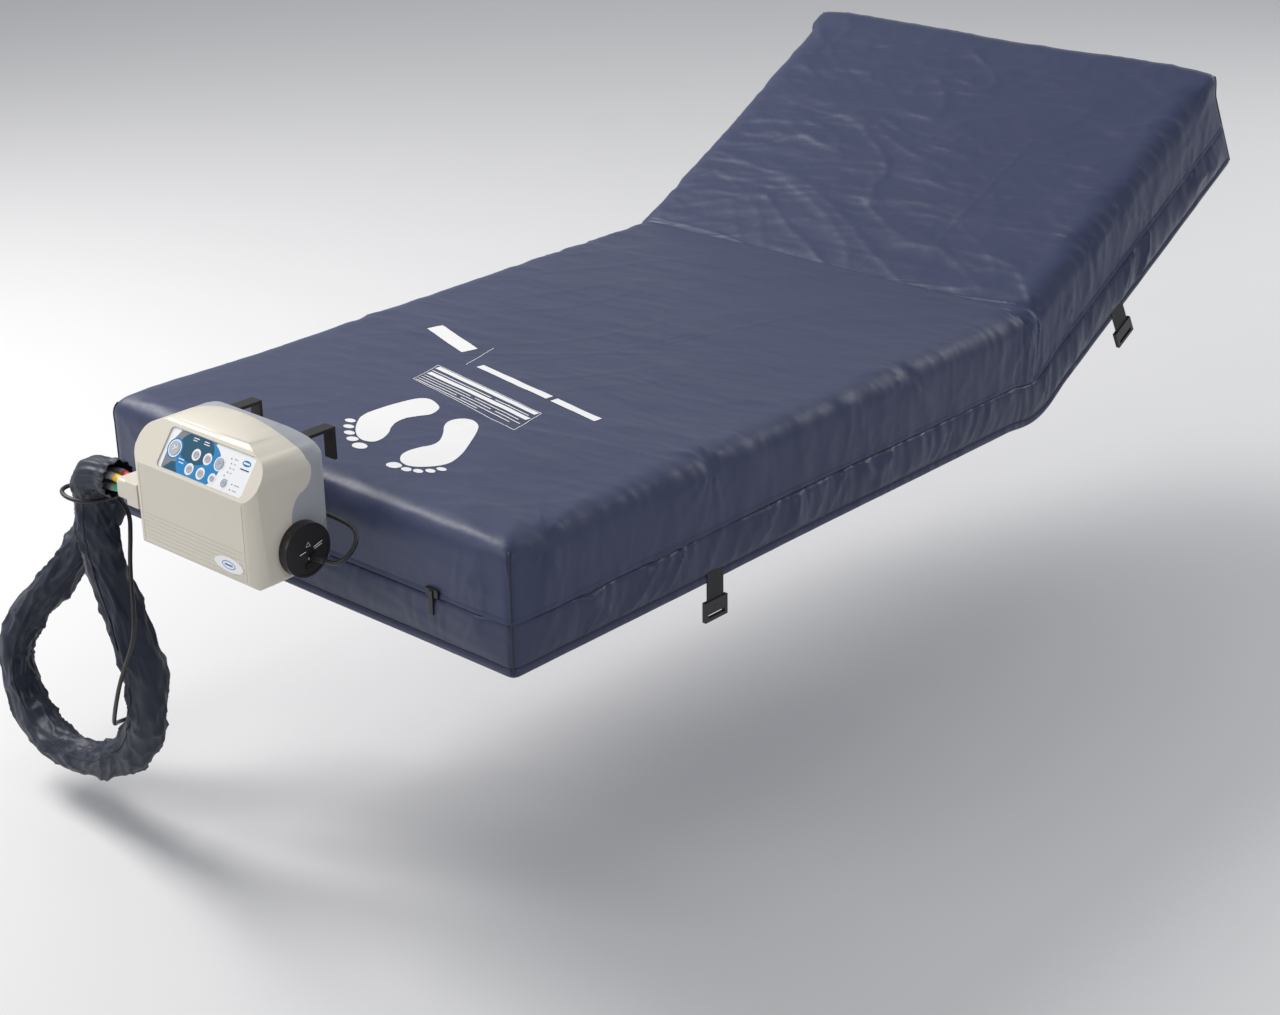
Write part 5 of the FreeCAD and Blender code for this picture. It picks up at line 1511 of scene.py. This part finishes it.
    def glyph(self, name: str, centre: tuple[float, float], radius: float) -> None:
        """A plain mark on a key's cap.

        Args:
            name: The key's name.
            centre: Its centre in millimetres.
            radius: Its radius.
        """
        x, y = centre
        size = radius * 0.5
        node = f"key_{name}"
        top = self.cap_height(node)
        ink = LABEL_WHITE if name == "mode" else LABEL_GREY
        mark = bar((x - size, y - size * 0.6), (x + size, y + size * 0.7), radius * 0.12)
        dot = oval((x - size * 0.4, y + size * 0.6), (radius * 0.16,) * 2, 20)
        self.put(f"{name}_mark", mark, ink, top, node, "key_caps")
        self.put(f"{name}_dot", dot, ink, top, node, "key_caps")

    def cap_height(self, node: str) -> float:
        """How far a key's cap stands over the panel's face.

        Args:
            node: The key's solid.
        Returns:
            Millimetres, with the print's own stand.
        """
        face = self.middle - self.out * self.sunk * MM
        tops = [(v.co - face).dot(self.out) for v in frame["nodes"][node].data.vertices]
        return max(tops) / MM + 0.05


@dataclass
class ControlUnit:
    """The control unit's shells, fittings, label and power plate."""

    finishes: tuple[tuple[Finish, str, float], ...] = (
        (CREAM, "front_shell hose_port", 0.5), (GREY, "rear_shell", 0.5),
        (LABEL_WHITE, "control_panel badge", 0.2), (BLACK_PLASTIC, "power_disc fuse_cap", 0.5),
        (CREAM, "hose_connector", 0.5), (FEET_RUBBER, "pump_feet", 0.4),
        (BRIGHT_STEEL, "shell_screws", 0.15),
        (HOOK_STEEL, "hook_left hook_right", 0.5), (CIRCUIT, "circuit_board", 0.0),
        (CASTING, "compressor", 0.8), (BLACK_PLASTIC, "valve_body valve_disc", 0.4),
        (RUBBER, "strain_relief mains_plug", 0.5),
        (KEY_GREY, "key_mode key_firmer key_softer key_comfort", 0.25),
        (KEY_GREY, "key_cycle key_static key_mute key_power", 0.25),
    )
    plate_y: float = -1288.4 * MM
    plate_z: float = 160.6 * MM

    def build(self) -> None:
        """Finishes the unit's solids and lays its prints."""
        finish_solids(self.finishes)
        Panel().build()
        self.build_disc_prints()
        self.build_badge_prints()

    def build_disc_prints(self) -> None:
        """Plain marks on the power plate."""
        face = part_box("power_disc")[1].x + 0.12 * MM
        bars = (((-4, 6), (4, 6), 0.6), ((4, 6), (0, 13), 0.6), ((0, 13), (-4, 6), 0.6),
                ((-16, -3), (-5, -1), 1.2), ((10, 2), (26, 7), 1.2), ((11, -1), (25, 3), 1.2),
                ((-2, -13), (2, -13), 0.8), ((0, -11), (0, -15), 0.8))
        for number, (start, end, thick) in enumerate(bars):
            piece = outline_plate(f"plate_mark_{number}", bar(start, end, thick), lambda y, z: stack(
                face, self.plate_y + y * MM, self.plate_z + z * MM), UNCUT)
            settle(piece, LABEL_WHITE, "seat")

    def build_badge_prints(self) -> None:
        """A plain mark on the badge."""
        low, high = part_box("badge")
        middle = (low + high) / 2
        marks = ((oval((0, 0), (15, 6.4)), LABEL_BLUE, 0.1),
                 (oval((0, 0), (13.2, 5.2)), LABEL_WHITE, 0.16),
                 (bar((-9, 0), (9, 0), 3.2), LABEL_BLUE, 0.22))
        for number, (outline, finish, lift) in enumerate(marks):
            piece = outline_plate(f"badge_mark_{number}", outline, lambda x, z: stack(
                middle.x + x * MM, low.y - lift * MM, middle.z + z * MM), UNCUT)
            settle(piece, finish, "seat")


# ---------------------------------------------------------------- straps, valve and what is inside
@dataclass
class Fittings:
    """The bed straps, the deflate valve, the zipper's slider and the inner parts."""

    finishes: tuple[tuple[Finish, str, float], ...] = (
        (WEBBING, "bed_straps_calf bed_straps_back hose_cuff", 0.4),
        (BLACK_PLASTIC, "strap_buckles_calf strap_buckles_back cpr_valve", 0.6),
        (RED_PLASTIC, "cpr_pull", 0.8), (HOOK_STEEL, "zip_slider", 0.5),
        (FILM, "air_cells_back air_cells_seat air_cells_thigh air_cells_calf", 0.0),
        (TUBE_GREY, "air_manifold_back air_manifold_seat air_manifold_thigh air_manifold_calf", 0.0),
    )

    def build(self) -> None:
        """Finishes the solids."""
        finish_solids(self.finishes)


# ---------------------------------------------------------------- stage
@dataclass
class Stage:
    """The floor, the lights and the camera."""

    floor_height: float = -0.5124
    floor_half: float = 15.0
    sky: float = 0.42
    place: Point = (2.6055, -3.2273, 1.5574)
    yaw: float = 42.72
    pitch: float = 23.53
    roll: float = -0.98
    lens: float = 66.8

    def build(self) -> None:
        """Sets up all of it."""
        self.build_camera()
        self.build_floor()
        self.add_light("key", (-3.4, -1.6, 3.4), (0, -0.3, 0), 2.2, 215.0, (1.0, 0.985, 0.965))
        self.add_light("front", (-1.2, -5.2, 2.6), (0, -1.2, 0.1), 2.0, 50.0, (1.0, 0.99, 0.97))
        self.add_light("side", (5.0, -0.4, 1.9), (0.4, -0.4, 0.1), 1.2, 22.0, (0.95, 0.98, 1.0))
        self.add_light("back", (1.0, 5.0, 2.6), (0, 0.4, 0.2), 3.0, 90.0, (1.0, 1.0, 1.0))
        world = bpy.data.worlds.new("pale_room")
        world.use_nodes = True
        sky = world.node_tree.nodes["Background"]
        sky.inputs["Color"].default_value = (0.93, 0.95, 1.0, 1)
        sky.inputs["Strength"].default_value = self.sky
        bpy.context.scene.world = world
        bpy.context.scene.view_settings.view_transform = "Standard"

    def build_camera(self) -> None:
        """The camera."""
        camera = bpy.data.cameras.new("camera")
        camera.lens = self.lens
        camera.sensor_width = 36.0
        viewer = bpy.data.objects.new("camera", camera)
        bpy.context.scene.collection.objects.link(viewer)
        yaw, pitch, roll = (math.radians(v) for v in (self.yaw, self.pitch, self.roll))
        ahead = Vector((-math.sin(yaw) * math.cos(pitch), math.cos(yaw) * math.cos(pitch),
                        -math.sin(pitch)))
        right = Vector((math.cos(yaw), math.sin(yaw), 0))
        up = right.cross(ahead)
        right, up = (right * math.cos(roll) + up * math.sin(roll),
                     up * math.cos(roll) - right * math.sin(roll))
        turned = Matrix((right, up, -ahead)).transposed().to_4x4()
        viewer.matrix_world = Matrix.Translation(self.place) @ turned
        bpy.context.scene.camera = viewer

    def build_floor(self) -> None:
        """The pale floor."""
        half = self.floor_half
        corners = ((-half, -half), (half, -half), (half, half), (-half, half))
        floor = mesh_piece("floor", np.array([(x, y, self.floor_height) for x, y in corners]),
                           [(0, 1, 2, 3)])
        Finish("pale_floor", (0.74, 0.74, 0.745), 0.6, Grain.INK, shift=0.01).dress(floor)

    def add_light(self, name: str, place: Point, aim: Point, size: float, power: float,
                  colour: Colour) -> None:
        """Adds one soft light.

        Args:
            name: Its name.
            place: Where it hangs.
            aim: Where it points.
            size: Its width.
            power: Its watts.
            colour: Its colour.
        """
        light = bpy.data.lights.new(name, "AREA")
        light.size = size
        light.energy = power
        light.color = colour
        lamp = bpy.data.objects.new(name, light)
        bpy.context.scene.collection.objects.link(lamp)
        lamp.location = place
        lamp.rotation_euler = (Vector(aim) - Vector(place)).to_track_quat("-Z", "Y").to_euler()


def main() -> None:
    """Builds the looks."""
    logging.basicConfig(level=logging.INFO, format="%(message)s")
    Stage().build()
    HoseSleeve().build()
    MainsLead().build()
    AirTubes().build()
    form = CoverForm()
    Cover(form).build()
    CoverPrints(form).build()
    ControlUnit().build()
    Fittings().build()


if __name__ == "__main__":
    main()
